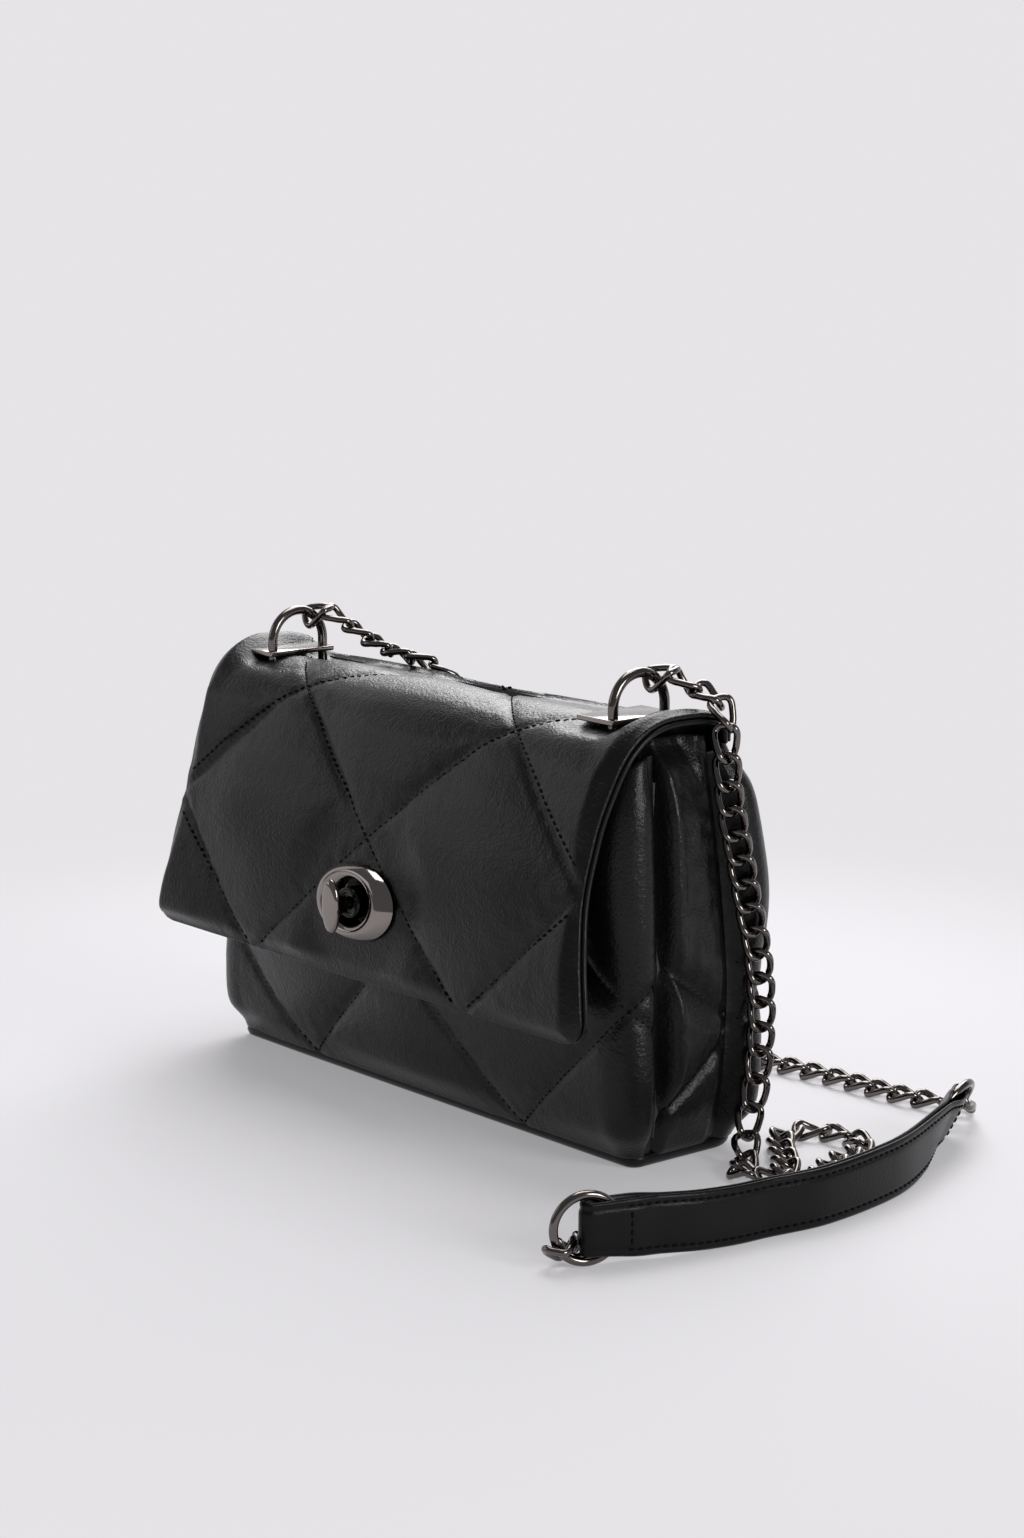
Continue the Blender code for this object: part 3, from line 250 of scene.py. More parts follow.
finishes = {
    "leather": {
        "cloud": 14, "grain": 950, "crinkle": 210, "crinkleShare": 1.2, "relief": 0.55,
        "rough": 0.31, "shine": 0.26, "dark": (0.0026, 0.0027, 0.0030), "light": (0.0050, 0.0051, 0.0056),
    },
    "edge": {
        "cloud": 40, "grain": 1800, "crinkle": 300, "crinkleShare": 0.4, "relief": 0.16,
        "rough": 0.32, "shine": 0.24, "dark": (0.0030, 0.0030, 0.0033), "light": (0.0052, 0.0052, 0.0057),
    },
    "gunmetal": {"dark": (0.215, 0.192, 0.180), "light": (0.275, 0.248, 0.232), "rough": 0.09},
    # A darker copy of the gunmetal for the chain, staple rings and pad rings: painted shade
    "shadedGunmetal": {"dark": (0.120, 0.108, 0.101), "light": (0.170, 0.153, 0.144), "rough": 0.11},
    # Lock post: dark metal, made near-black as painted shade in the hollow of the lock
    "shadedBlackMetal": {"dark": (0.016, 0.015, 0.014), "light": (0.026, 0.024, 0.022), "rough": 0.12},
    "darkMetal": {"dark": (0.085, 0.078, 0.074), "light": (0.12, 0.11, 0.105), "rough": 0.15},
    "strap": {
        "cloud": 30, "grain": 1400, "crinkle": 320, "crinkleShare": 0.6, "relief": 0.30,
        "rough": 0.30, "shine": 0.17, "dark": (0.0020, 0.0020, 0.0022), "light": (0.0036, 0.0036, 0.0040),
    },
    "lining": {"weave": 900, "dark": (0.020, 0.020, 0.022), "light": (0.038, 0.038, 0.041)},
    "board": {"weave": 300, "dark": (0.12, 0.095, 0.07), "light": (0.17, 0.14, 0.105)},
    # Thread: black, and set darker than the leather as painted shade of the stitch holes
    "threadWithHoleShade": {"weave": 2500, "dark": (0.0006, 0.0006, 0.0006), "light": (0.0018, 0.0018, 0.0018)},
}
leather = leatherFinish("leather", finishes["leather"])
edgeLeather = leatherFinish("edgeLeather", finishes["edge"])
strapLeather = leatherFinish("strapLeather", finishes["strap"])
gunmetal = metalFinish("gunmetal", finishes["gunmetal"])
shadedGunmetal = metalFinish("shadedGunmetal", finishes["shadedGunmetal"])
darkMetal = metalFinish("darkMetal", finishes["darkMetal"])
shadedBlackMetal = metalFinish("shadedBlackMetal", finishes["shadedBlackMetal"])
liningCloth = clothFinish("liningCloth", finishes["lining"])
fibreBoard = clothFinish("fibreBoard", finishes["board"])
threadWithHoleShade = threadFinish("threadWithHoleShade", finishes["threadWithHoleShade"])
print("finishes made")


# Helpers for shapes
def ease(value):
    t = min(max(value, 0), 1)
    return t * t * (3 - 2 * t)


# Bands run from low over a rise up to high over a fade
def within(value, band):
    low, rise, high, fade = band
    return ease((value - low) / rise) * ease((high - value) / fade)


def summed(steps):
    lengths = [0]
    for step in steps:
        lengths.append(lengths[-1] + step)
    return lengths


def stepAt(lengths, run):
    # The stretch of a curve that a run along it falls in, and its share of that stretch
    at = 0
    while at < len(lengths) - 2 and lengths[at + 1] < run:
        at += 1
    return at, (run - lengths[at]) / (lengths[at + 1] - lengths[at])


def smoothRows(rows, key):
    last = len(rows) - 2
    at = 0
    while at < last and key > rows[at + 1][0]:
        at += 1
    before, low, high, after = (
        rows[max(at - 1, 0)], rows[at], rows[at + 1], rows[min(at + 2, len(rows) - 1)]
    )
    step = high[0] - low[0]
    t = min(max((key - low[0]) / step, 0), 1)
    values = []
    for k in range(1, len(low)):
        slopeLow = (high[k] - before[k]) / (high[0] - before[0])
        slopeHigh = (after[k] - low[k]) / (after[0] - low[0])
        values.append(
            (2 * t**3 - 3 * t**2 + 1) * low[k]
            + (t**3 - 2 * t**2 + t) * step * slopeLow
            + (3 * t**2 - 2 * t**3) * high[k]
            + (t**3 - t**2) * step * slopeHigh
        )
    return values


def meshObject(name, points, faces, material, angle=50):
    shape = bmesh.new()
    verts = [shape.verts.new(point) for point in points]
    for face in faces:
        shape.faces.new([verts[k] for k in face])
    bmesh.ops.recalc_face_normals(shape, faces=shape.faces)
    mesh = bpy.data.meshes.new(name)
    shape.to_mesh(mesh)
    shape.free()
    mesh.shade_smooth()
    mesh.set_sharp_from_angle(angle=math.radians(angle))
    mesh.materials.append(material)
    return linked(name, mesh)


def ringObject(name, rings, material, closed=False, angle=50):
    size = len(rings[0])
    faces = []
    for k in range(len(rings) if closed else len(rings) - 1):
        low, high = k * size, (k + 1) % len(rings) * size
        faces += [(low + j, low + (j + 1) % size, high + (j + 1) % size, high + j) for j in range(size)]
    if not closed:
        faces.append(tuple(range(size)))
        faces.append(tuple((len(rings) - 1) * size + j for j in range(size)))
    return meshObject(name, [p for ring in rings for p in ring], faces, material, angle)


def plyObject(name, outer, inner, material, roll=4):
    # A ply of leather between two grids of points, with a rolled edge all round
    rows, columns = len(outer), len(outer[0])
    points = [p for grid in (outer, inner) for row in grid for p in row]
    under = rows * columns
    faces = []
    for r in range(rows - 1):
        for c in range(columns - 1):
            a = r * columns + c
            b, e, d = a + 1, a + columns + 1, a + columns
            faces += [(a, b, e, d), (under + d, under + e, under + b, under + a)]
    rim = [(0, c) for c in range(columns)]
    rim += [(r, columns - 1) for r in range(1, rows)]
    rim += [(rows - 1, c) for c in range(columns - 2, -1, -1)]
    rim += [(r, 0) for r in range(rows - 2, 0, -1)]
    rolled = []
    for r, c in rim:
        top, low = outer[r][c], inner[r][c]
        inside = outer[min(max(r, 1), rows - 2)][min(max(c, 1), columns - 2)]
        across = (top - low).normalized()
        away = top - inside
        away = (away - across * away.dot(across)).normalized()
        half = (top - low).length / 2
        middle = (top + low) / 2
        ring = [r * columns + c]
        for k in range(1, roll):
            turn = math.pi * k / roll
            points.append(middle + across * half * math.cos(turn) + away * half * math.sin(turn))
            ring.append(len(points) - 1)
        ring.append(under + r * columns + c)
        rolled.append(ring)
    for k, ring in enumerate(rolled):
        after = rolled[(k + 1) % len(rolled)]
        for j in range(roll):
            faces.append((ring[j], ring[j + 1], after[j + 1], after[j]))
    return meshObject(name, points, faces, material, angle=75)


def plies(rows, columns, at):
    # The outer and inner grids of a ply, from the pair of points at each row and column
    pairs = [[at(r, c) for c in range(columns + 1)] for r in range(rows + 1)]
    return [[[pair[k] for pair in row] for row in pairs] for k in (0, 1)]


def oval(halfWidth, halfHeight, y, z, count):
    return [
        Vector((
            halfWidth * math.cos(2 * math.pi * k / count), y,
            z + halfHeight * math.sin(2 * math.pi * k / count),
        ))
        for k in range(count)
    ]


def cutHole(piece, cutter):
    change = piece.modifiers.new("hole", "BOOLEAN")
    change.object = cutter
    change.operation = "DIFFERENCE"
    change.solver = "EXACT"
    applyModifiers(piece)
    bpy.data.objects.remove(cutter)


def applyModifiers(piece):
    shown = bpy.context.evaluated_depsgraph_get()
    mesh = bpy.data.meshes.new_from_object(piece.evaluated_get(shown))
    piece.modifiers.clear()
    piece.data = mesh


def settle(piece, body, slotName, *replaced):
    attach(piece, body)
    if replaced:
        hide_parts(*replaced)
    return piece


# Geometry Nodes: one stitch or link on every marked place
def markedPoints(name, places):
    mesh = bpy.data.meshes.new(name)
    mesh.from_pydata([place for place, along, facing in places], [], [])
    for key, which in (("along", 1), ("facing", 2)):
        layer = mesh.attributes.new(key, "FLOAT_VECTOR", "POINT")
        for k, row in enumerate(places):
            layer.data[k].vector = row[which]
    return linked(name, mesh)


class NodeTree:
    def __init__(self, name, sizes):
        self.tree = bpy.data.node_groups.new(name, "GeometryNodeTree")
        self.tree.interface.new_socket("Geometry", in_out="INPUT", socket_type="NodeSocketGeometry")
        self.keys = {}
        for key, value in sizes.items():
            made = self.tree.interface.new_socket(key, in_out="INPUT", socket_type="NodeSocketFloat")
            made.default_value = value
            self.keys[key] = made.identifier
        self.tree.interface.new_socket("Geometry", in_out="OUTPUT", socket_type="NodeSocketGeometry")
        self.start = self.tree.nodes.new("NodeGroupInput")
        self.end = self.tree.nodes.new("NodeGroupOutput")

    def add(self, kind, settings=None, values=None, links=None):
        made = self.tree.nodes.new(kind)
        for key, value in (settings or {}).items():
            setattr(made, key, value)
        for key, value in (values or {}).items():
            made.inputs[key].default_value = value
        for key, socket in (links or {}).items():
            self.tree.links.new(socket, made.inputs[key])
        return made

    def maths(self, operation, *terms):
        made = self.tree.nodes.new("ShaderNodeMath")
        made.operation = operation
        for place, term in zip(made.inputs, terms):
            if isinstance(term, (int, float)):
                place.default_value = term
            else:
                self.tree.links.new(term, place)
        return made.outputs[0]

    def scatter(self, shape, material):
        along, facing = (
            self.add("GeometryNodeInputNamedAttribute", {"data_type": "FLOAT_VECTOR"}, {"Name": key})
            for key in ("along", "facing")
        )
        turn = self.add(
            "FunctionNodeAxesToRotation", {"primary_axis": "X", "secondary_axis": "Z"}, {},
            {"Primary Axis": along.outputs[0], "Secondary Axis": facing.outputs[0]},
        )
        placed = self.add(
            "GeometryNodeInstanceOnPoints", {}, {},
            {"Points": self.start.outputs["Geometry"], "Instance": shape, "Rotation": turn.outputs[0]},
        )
        real = self.add("GeometryNodeRealizeInstances", {}, {}, {"Geometry": placed.outputs[0]})
        smooth = self.add("GeometryNodeSetShadeSmooth", {}, {}, {"Geometry": real.outputs[0]})
        coloured = self.add(
            "GeometryNodeSetMaterial", {}, {"Material": material}, {"Geometry": smooth.outputs[0]}
        )
        self.tree.links.new(coloured.outputs[0], self.end.inputs[0])


def grow(name, places, network, sizes):
    made = markedPoints(name, places)
    change = made.modifiers.new("made", "NODES")
    change.node_group = network.tree
    for key, value in sizes.items():
        change[network.keys[key]] = value
    bpy.context.view_layer.update()
    applyModifiers(made)
    made.data.update()
    return made


stitch = {
    "length": 0.0023, "radius": 0.00042, "padRadius": 0.00048, "pitch": 0.0032, "rise": 0.00010,
    "sides": 8, "rings": 6, "edgeGap": 0.002, "start": 0.001, "bodyReach": 0.16, "bodyHeight": 0.146,
    "flapReach": 0.13,
}


def stitchNetwork():
    made = NodeTree("stitches", {"length": stitch["length"], "radius": stitch["radius"]})
    ball = made.add(
        "GeometryNodeMeshUVSphere", {}, {"Segments": stitch["sides"], "Rings": stitch["rings"], "Radius": 1}
    )
    size = made.add(
        "ShaderNodeCombineXYZ", {}, {},
        {
            "X": made.maths("MULTIPLY", made.start.outputs["length"], 0.5),
            "Y": made.start.outputs["radius"],
            "Z": made.start.outputs["radius"],
        },
    )
    shaped = made.add(
        "GeometryNodeTransform", {}, {}, {"Geometry": ball.outputs[0], "Scale": size.outputs[0]}
    )
    made.scatter(shaped.outputs[0], threadWithHoleShade)
    return made


link = {
    "length": 0.0141, "width": 0.0102, "wire": 0.0021, "shownWire": 0.0026, "twist": 0.0019,
    "square": 0.80, "play": 0.0009, "points": 40, "sides": 12,
}


def linkNetwork():
    sizes = {key: link[key] for key in ("length", "width", "twist", "square")}
    made = NodeTree("links", {"wire": link["shownWire"], **sizes})
    say = made.start.outputs
    ring = made.add(
        "GeometryNodeCurvePrimitiveCircle", {"mode": "RADIUS"}, {"Resolution": link["points"], "Radius": 1}
    )
    index = made.add("GeometryNodeInputIndex").outputs[0]
    turn = made.maths("MULTIPLY", index, 2 * math.pi / link["points"])
    parts = {}
    for key, operation in (("long", "COSINE"), ("wide", "SINE")):
        value = made.maths(operation, turn)
        parts[key] = made.maths(
            "MULTIPLY", made.maths("SIGN", value),
            made.maths("POWER", made.maths("ABSOLUTE", value), say["square"]),
        )
    halfLength = made.maths("MULTIPLY", made.maths("SUBTRACT", say["length"], say["wire"]), 0.5)
    halfWidth = made.maths("MULTIPLY", made.maths("SUBTRACT", say["width"], say["wire"]), 0.5)
    lift = made.maths("MULTIPLY", made.maths("SINE", made.maths("MULTIPLY", turn, -2)), say["twist"])
    spot = made.add(
        "ShaderNodeCombineXYZ", {}, {},
        {
            "X": made.maths("MULTIPLY", parts["long"], halfLength),
            "Y": made.maths("MULTIPLY", parts["wide"], halfWidth),
            "Z": lift,
        },
    )
    moved = made.add(
        "GeometryNodeSetPosition", {}, {}, {"Geometry": ring.outputs[0], "Position": spot.outputs[0]}
    )
    profile = made.add(
        "GeometryNodeCurvePrimitiveCircle", {"mode": "RADIUS"}, {"Resolution": link["sides"]},
        {"Radius": made.maths("MULTIPLY", say["wire"], 0.5)},
    )
    solid = made.add(
        "GeometryNodeCurveToMesh", {}, {},
        {"Curve": moved.outputs[0], "Profile Curve": profile.outputs[0]},
    )
    made.scatter(solid.outputs[0], shadedGunmetal)
    return made


stitchTree = stitchNetwork()
linkTree = linkNetwork()


def sew(name, body, places, **sizes):
    settle(grow(name + "Stitches", places, stitchTree, sizes), body, "leather")


def surfaceFrame(surface, a, b, wayA, wayB):
    # Place, way along and outward way on a surface given by two lengths
    small = 0.0004
    here = surface(a, b)
    along = (surface(a + wayA * small, b + wayB * small) - here).normalized()
    facing = (surface(a + small, b) - here).cross(surface(a, b + small) - here).normalized()
    return here, along, facing


# Quilting: diamonds across the width and up the wall
quilt = {
    "halfWidth": 0.064, "halfHeight": 0.0555, "puff": 0.0034, "sink": 0.0012, "power": 2.6,
    "groove": 0.0012, "grooveWidth": 0.0013, "grooveLeast": 0.5, "pucker": 0.00042,
    "puckerReach": 0.011, "ripple": 190, "fineRipple": 420, "fineShare": 0.6, "fineSeed": 3,
    "soft": 0.0007, "swell": 28, "swellSeed": 7, "softFade": 0.012, "seams": 8,
}
seeds = {"front": 11, "back": 23, "flap": 37}
seamGap = 2 / math.hypot(1 / quilt["halfWidth"], 1 / quilt["halfHeight"])


def quiltRelief(across, up, calm, seed):
    # How far the leather stands over the seam level
    u = (across / quilt["halfWidth"] + up / quilt["halfHeight"]) / 2
    v = (across / quilt["halfWidth"] - up / quilt["halfHeight"]) / 2
    rise, nearest = 1, 1
    for part in (u, v):
        offMiddle = abs(2 * (part - math.floor(part)) - 1)
        rise *= 1 - offMiddle ** quilt["power"]
        nearest = min(nearest, 1 - offMiddle)
    away = nearest * seamGap / 2
    groove = quilt["groove"] * math.exp(-((away / quilt["grooveWidth"]) ** 2))

    def wave(scale, shift):
        return noise.noise(Vector((across * scale, up * scale, seed + shift)))

    ripple = wave(quilt["ripple"], 0) + quilt["fineShare"] * wave(quilt["fineRipple"], quilt["fineSeed"])
    pucker = quilt["pucker"] * ripple * math.exp(-away / quilt["puckerReach"])
    soft = quilt["soft"] * wave(quilt["swell"], quilt["swellSeed"]) * min(away / quilt["softFade"], 1)
    return calm * (quilt["puff"] * rise + soft) + pucker - groove * max(calm, quilt["grooveLeast"])


def latticeSeams(surface, acrossReach, upLow, upHigh, keep):
    # Stitches along both families of seams of the diamonds
    places = []
    slant = quilt["halfWidth"] / quilt["halfHeight"]
    step = stitch["pitch"] / math.hypot(1, slant)
    for way in (-1, 1):
        for k in range(-quilt["seams"], quilt["seams"] + 1):
            up = upLow
            while up < upHigh:
                across = 2 * k * quilt["halfWidth"] + way * slant * up
                if abs(across) < acrossReach and keep(across, up):
                    here, along, facing = surfaceFrame(surface, across, up, way * slant, 1)
                    places.append((here + facing * stitch["rise"], along, facing))
                up += step
    return places


# Body walls
body = {
    "width": 0.256, "depth": 0.078, "height": 0.1535, "wall": 0.0035, "frontBelly": 0.0022, "bellyPower": 4,
    "creaseDent": 0.0034, "dentReach": 0.0055, "rearDentShare": 0.5, "seamToBase": 0.0053,
    "frontTop": 0.1438, "frontSideRise": 0.007, "backTop": 0.1531, "backSideRise": -0.004,
    "sideRiseRun": 0.021, "highest": 0.154, "gussetTop": 0.1555, "cornerShare": 0.75,
    "frontCrease": 0.222, "backCrease": 0.42, "sideBulge": 0.0024, "bulgeIn": 0.006,
    "bulgeFlat": 0.010, "bulgeOut": 0.016, "edgeFade": 0.010, "step": 0.0019, "columnShare": 0.57,
    "plyGap": 0.0002, "pinch": 0.0052, "pinchReach": 0.050, "setBack": 0.0022, "rearPuff": 0.0034,
}
bands = {
    "pinch": (-0.004, 0.016, 0.105, 0.040), "side": (body["seamToBase"], 0.014, 0.150, 0.020),
    "puff": (0.055, 0.050, 0.152, 0.016),
    "gussetEdge": (body["seamToBase"], 0.034, body["gussetTop"], 0.012),
}
bodyProfile = (
    (0.0, 0.333, 0.359, 0.478), (0.05, 0.385, 0.404, 0.490), (0.16, 0.442, 0.468, 0.498),
    (0.40, 0.487, 0.519, 0.500), (0.60, 0.489, 0.462, 0.497), (0.80, 0.460, 0.372, 0.491),
    (1.0, 0.360, 0.250, 0.486),
)
lock = {"height": 0.0825, "flatRadius": 0.025, "flatFade": 0.020, "clear": 0.026, "sides": 64, "halvings": 30}


def bodySize(height):
    front, back, half = smoothRows(bodyProfile, height / body["height"])
    return front * body["depth"], back * body["depth"], half * body["width"]


def sidePinch(side, height):
    # The left side is pressed in a little over its lower half
    return 0 if side > 0 else body["pinch"] * within(height, bands["pinch"])


def faceRun(height, facing):
    front, back, half = bodySize(height)
    reach = front if facing < 0 else back
    crease = body["frontCrease"] * body["depth"] if facing < 0 else body["backCrease"] * reach
    turnDepth = max(reach - crease, body["wall"])
    radius = body["cornerShare"] * turnDepth
    straight = half - radius
    return reach, half, radius, straight, straight + radius * math.pi / 2 + turnDepth - radius


def facePoint(height, along, inset, facing):
    reach, half, radius, straight, run = faceRun(height, facing)
    a = min(abs(along), run)
    side = math.copysign(1, along)
    if a <= straight:
        full = 1 - (2 * height / body["height"] - 1) ** body["bellyPower"]
        belly = body["frontBelly"] * full * (1 - (a / straight) ** 2)
        x, backOff, nx, ny = a, -belly, 0, 1
    elif a <= straight + radius * math.pi / 2:
        turn = (a - straight) / radius
        x = straight + radius * math.sin(turn)
        backOff = radius * (1 - math.cos(turn))
        nx, ny = math.sin(turn), math.cos(turn)
    else:
        x, nx, ny = half, 1, 0
        backOff = radius + a - straight - radius * math.pi / 2
    pinched = sidePinch(side, height)
    toSide = ease((x - half + body["pinchReach"]) / body["pinchReach"])
    x -= pinched * toSide
    if facing < 0:
        backOff += body["setBack"] * pinched / body["pinch"] * toSide * ny
    return Vector((side * (x - nx * inset), facing * (reach - backOff - ny * inset), height))


def lockCalm(across, height):
    return ease((math.hypot(across, height - lock["height"]) - lock["flatRadius"]) / lock["flatFade"])


def wallTop(along, run, facing):
    face = "front" if facing < 0 else "back"
    nearEnd = ease((abs(along) - run + body["sideRiseRun"]) / body["sideRiseRun"])
    return body[face + "Top"] + body[face + "SideRise"] * nearEnd


def wallSurface(facing):
    foot = body["seamToBase"]

    def surface(along, up):
        height = min(max(up - quilt["halfHeight"] + foot, foot), body["highest"])
        toEnd = faceRun(height, facing)[4] - abs(along)
        calm = lockCalm(along, height) if facing < 0 else 1
        edge = ease((height - foot) / body["edgeFade"]) * ease(toEnd / body["edgeFade"])
        relief = quiltRelief(along, up, calm * edge, seeds["front" if facing < 0 else "back"])
        dent = body["creaseDent"] * (1 - ease(toEnd / body["dentReach"]))
        dent *= 1 if facing < 0 else body["rearDentShare"]
        bulge = body["sideBulge"] * ease(toEnd / body["bulgeIn"])
        bulge *= 1 - ease((toEnd - body["bulgeFlat"]) / body["bulgeOut"])
        bulge *= within(height, bands["side"])
        if facing > 0:
            bulge += body["rearPuff"] * within(height, bands["puff"]) * edge
        return facePoint(height, along, quilt["sink"] - relief + dent - bulge, facing)
    return surface


def bodyWall(name, facing, node):
    surface = wallSurface(facing)
    foot = body["seamToBase"]
    rows = int(body["frontTop"] / body["step"])
    columns = 2 * int(body["width"] * body["columnShare"] / body["step"])

    def at(r, c):
        run = faceRun(foot + (body["frontTop"] - foot) * r / rows, facing)[4]
        share = 2 * c / columns - 1
        height = foot + (wallTop(share * run, run, facing) - foot) * r / rows
        along = share * faceRun(height, facing)[4]
        outer = surface(along, height - foot + quilt["halfHeight"])
        return outer, facePoint(height, along, body["wall"] - body["plyGap"], facing)

    wall = settle(plyObject(name, *plies(rows, columns, at), leather), "bag", "leather", node)

    def shown(along, up):
        height = up - quilt["halfHeight"] + foot
        run = faceRun(height, facing)[4]
        clear = facing > 0 or math.hypot(along, height - lock["height"]) > lock["clear"]
        below = height < wallTop(along, run, facing) - stitch["edgeGap"]
        return clear and below and abs(along) < run - stitch["edgeGap"]

    low = quilt["halfHeight"] + stitch["start"]
    sew(name, "bag", latticeSeams(surface, stitch["bodyReach"], low, low + stitch["bodyHeight"], shown))


bodyWall("frontPanel", -1, "front_panel")
bodyWall("backPanel", 1, "back_panel")
print("front and back made")

# Gussets, with the diamonds' seams running on from the front as a sideways V
gusset = {
    "rows": 90, "columns": 30, "bulge": 0.0050, "skew": 0.7, "spread": 1.9, "seamFade": 0.020,
    "seamLeast": 0.35, "ridge": 0.0018, "ridgeAt": 0.17, "ridgeWidth": 0.10, "ridgeFade": 0.012,
    "ridgeLeast": 0.3, "groove": 0.0015, "grooveWidth": 0.0016, "pucker": 0.00045, "puckerSlope": 6,
    "rippleAcross": 260, "rippleUp": 170, "sideSeed": 5, "frontSlope": 7, "frontLeast": 0.1,
    "rearSlope": 4, "rearLeast": 0.2, "rearDent": 0.0017, "dentSlope": 5, "tuck": 0.0060,
    "tuckFrom": 0.126, "tuckSlope": 2.5, "inset": 0.0010, "leastPly": 0.0012, "seamGap": 0.0007,
}
gussetSeams = (
    ((-0.0216, 0.0787), (0.0204, 0.0487)), ((0.0204, 0.0487), (-0.0162, 0.0198)),
)


def seamDistance(y, z):
    best = 1
    for (ya, za), (yb, zb) in gussetSeams:
        run = Vector((yb - ya, zb - za))
        off = Vector((y - ya, z - za))
        t = min(max(off.dot(run) / run.length_squared, 0), 1)
        best = min(best, (off - run * t).length)
    return best


def gussetSpan(side, height):
    start = facePoint(height, body["width"], 0, -1).y + clearance
    end = facePoint(height, body["width"], 0, 1).y - clearance
    return start, end, bodySize(height)[2] - sidePinch(side, height)


def gussetSurface(side):
    def surface(y, height):
        start, end, half = gussetSpan(side, height)
        share = min(max((y - start) / (end - start), 0), 1)
        rear = 1 - share
        away = seamDistance(y, height)
        bulge = gusset["bulge"] * (1 - abs(2 * share - gusset["skew"]) ** 2 / gusset["spread"])
        bulge *= ease(away / gusset["seamFade"] + gusset["seamLeast"])
        ridge = gusset["ridge"] * math.exp(-(((share - gusset["ridgeAt"]) / gusset["ridgeWidth"]) ** 2))
        bulge += ridge * ease(away / gusset["ridgeFade"] + gusset["ridgeLeast"])
        hold = ease(share * gusset["frontSlope"] + gusset["frontLeast"])
        bulge *= hold * ease(rear * gusset["rearSlope"] + gusset["rearLeast"])
        ripple = noise.noise(Vector((
            y * gusset["rippleAcross"], height * gusset["rippleUp"], side * gusset["sideSeed"],
        )))
        pucker = gusset["pucker"] * ripple * ease(share * gusset["puckerSlope"])
        pucker *= ease(rear * gusset["puckerSlope"])
        edge = body["creaseDent"] * (1 - ease(share * gusset["frontSlope"]))
        edge += gusset["rearDent"] * (1 - ease(rear * gusset["dentSlope"]))
        groove = gusset["groove"] * math.exp(-((away / gusset["grooveWidth"]) ** 2))
        tuckRun = body["gussetTop"] - gusset["tuckFrom"]
        tuck = gusset["tuck"] * ease((height - gusset["tuckFrom"]) / tuckRun)
        x = half - gusset["inset"] + (bulge + pucker) * within(height, bands["gussetEdge"])
        x = x - edge - groove - tuck * ease(rear * gusset["tuckSlope"])
        return Vector((side * x, y, height))
    return surface


def gussetPiece(name, side, node):
    surface = gussetSurface(side)

    def at(r, c):
        rise = (body["gussetTop"] - body["seamToBase"]) * r / gusset["rows"]
        height = body["seamToBase"] + rise
        start, end, half = gussetSpan(side, height)
        y = start + (end - start) * c / gusset["columns"]
        outer = surface(y, height)
        deep = min(half - body["wall"] + body["plyGap"], abs(outer.x) - gusset["leastPly"])
        return outer, Vector((side * deep, y, height))

    grids = plies(gusset["rows"], gusset["columns"], at)
    piece = settle(plyObject(name, *grids, leather, roll=2), "bag", "leather", node)
    places = []
    for (ya, za), (yb, zb) in gussetSeams:
        length = math.hypot(yb - ya, zb - za)
        count = int(length / stitch["pitch"])
        for k in range(count + 1):
            t = k / max(count, 1)
            y, z = ya + t * (yb - ya), za + t * (zb - za)
            start, end = gussetSpan(side, z)[:2]
            if start + gusset["seamGap"] < y < end - gusset["seamGap"]:
                here, along, facing = surfaceFrame(surface, y, z, (yb - ya) / length, (zb - za) / length)
                facing = facing if facing.x * side > 0 else -facing
                places.append((here + facing * stitch["rise"], along, facing))
    sew(name, "bag", places)


gussetPiece("gussetRight", 1, "gusset_right")
gussetPiece("gussetLeft", -1, "gusset_left")


# Base, board, lining and slip pocket
base = {
    "edge": 0.0022, "edgeSteps": 10, "tuck": 0.0012, "board": 0.002, "boardInset": 0.005,
    "liningThick": 0.001, "liningTuck": 0.0008, "liningTop": 0.141, "liningSteps": 36,
}
pocket = {
    "low": 0.045, "height": 0.070, "halfWidth": 0.075, "rows": 24, "columns": 30, "ply": 0.001,
    "gap": 0.0009,
}


def planRing(height, inset, count=60):
    points = []
    for facing in (-1, 1):
        run = faceRun(height, facing)[4]
        stops = [run * math.sin(math.pi / 2 * (2 * k / count - 1)) for k in range(count + 1)]
        side = [facePoint(height, stop, inset, facing) for stop in stops]
        points += side if facing < 0 else side[::-1]
    return points


def flatRing(height, inset, level):
    return [Vector((p.x, p.y, level)) for p in planRing(height, inset)]


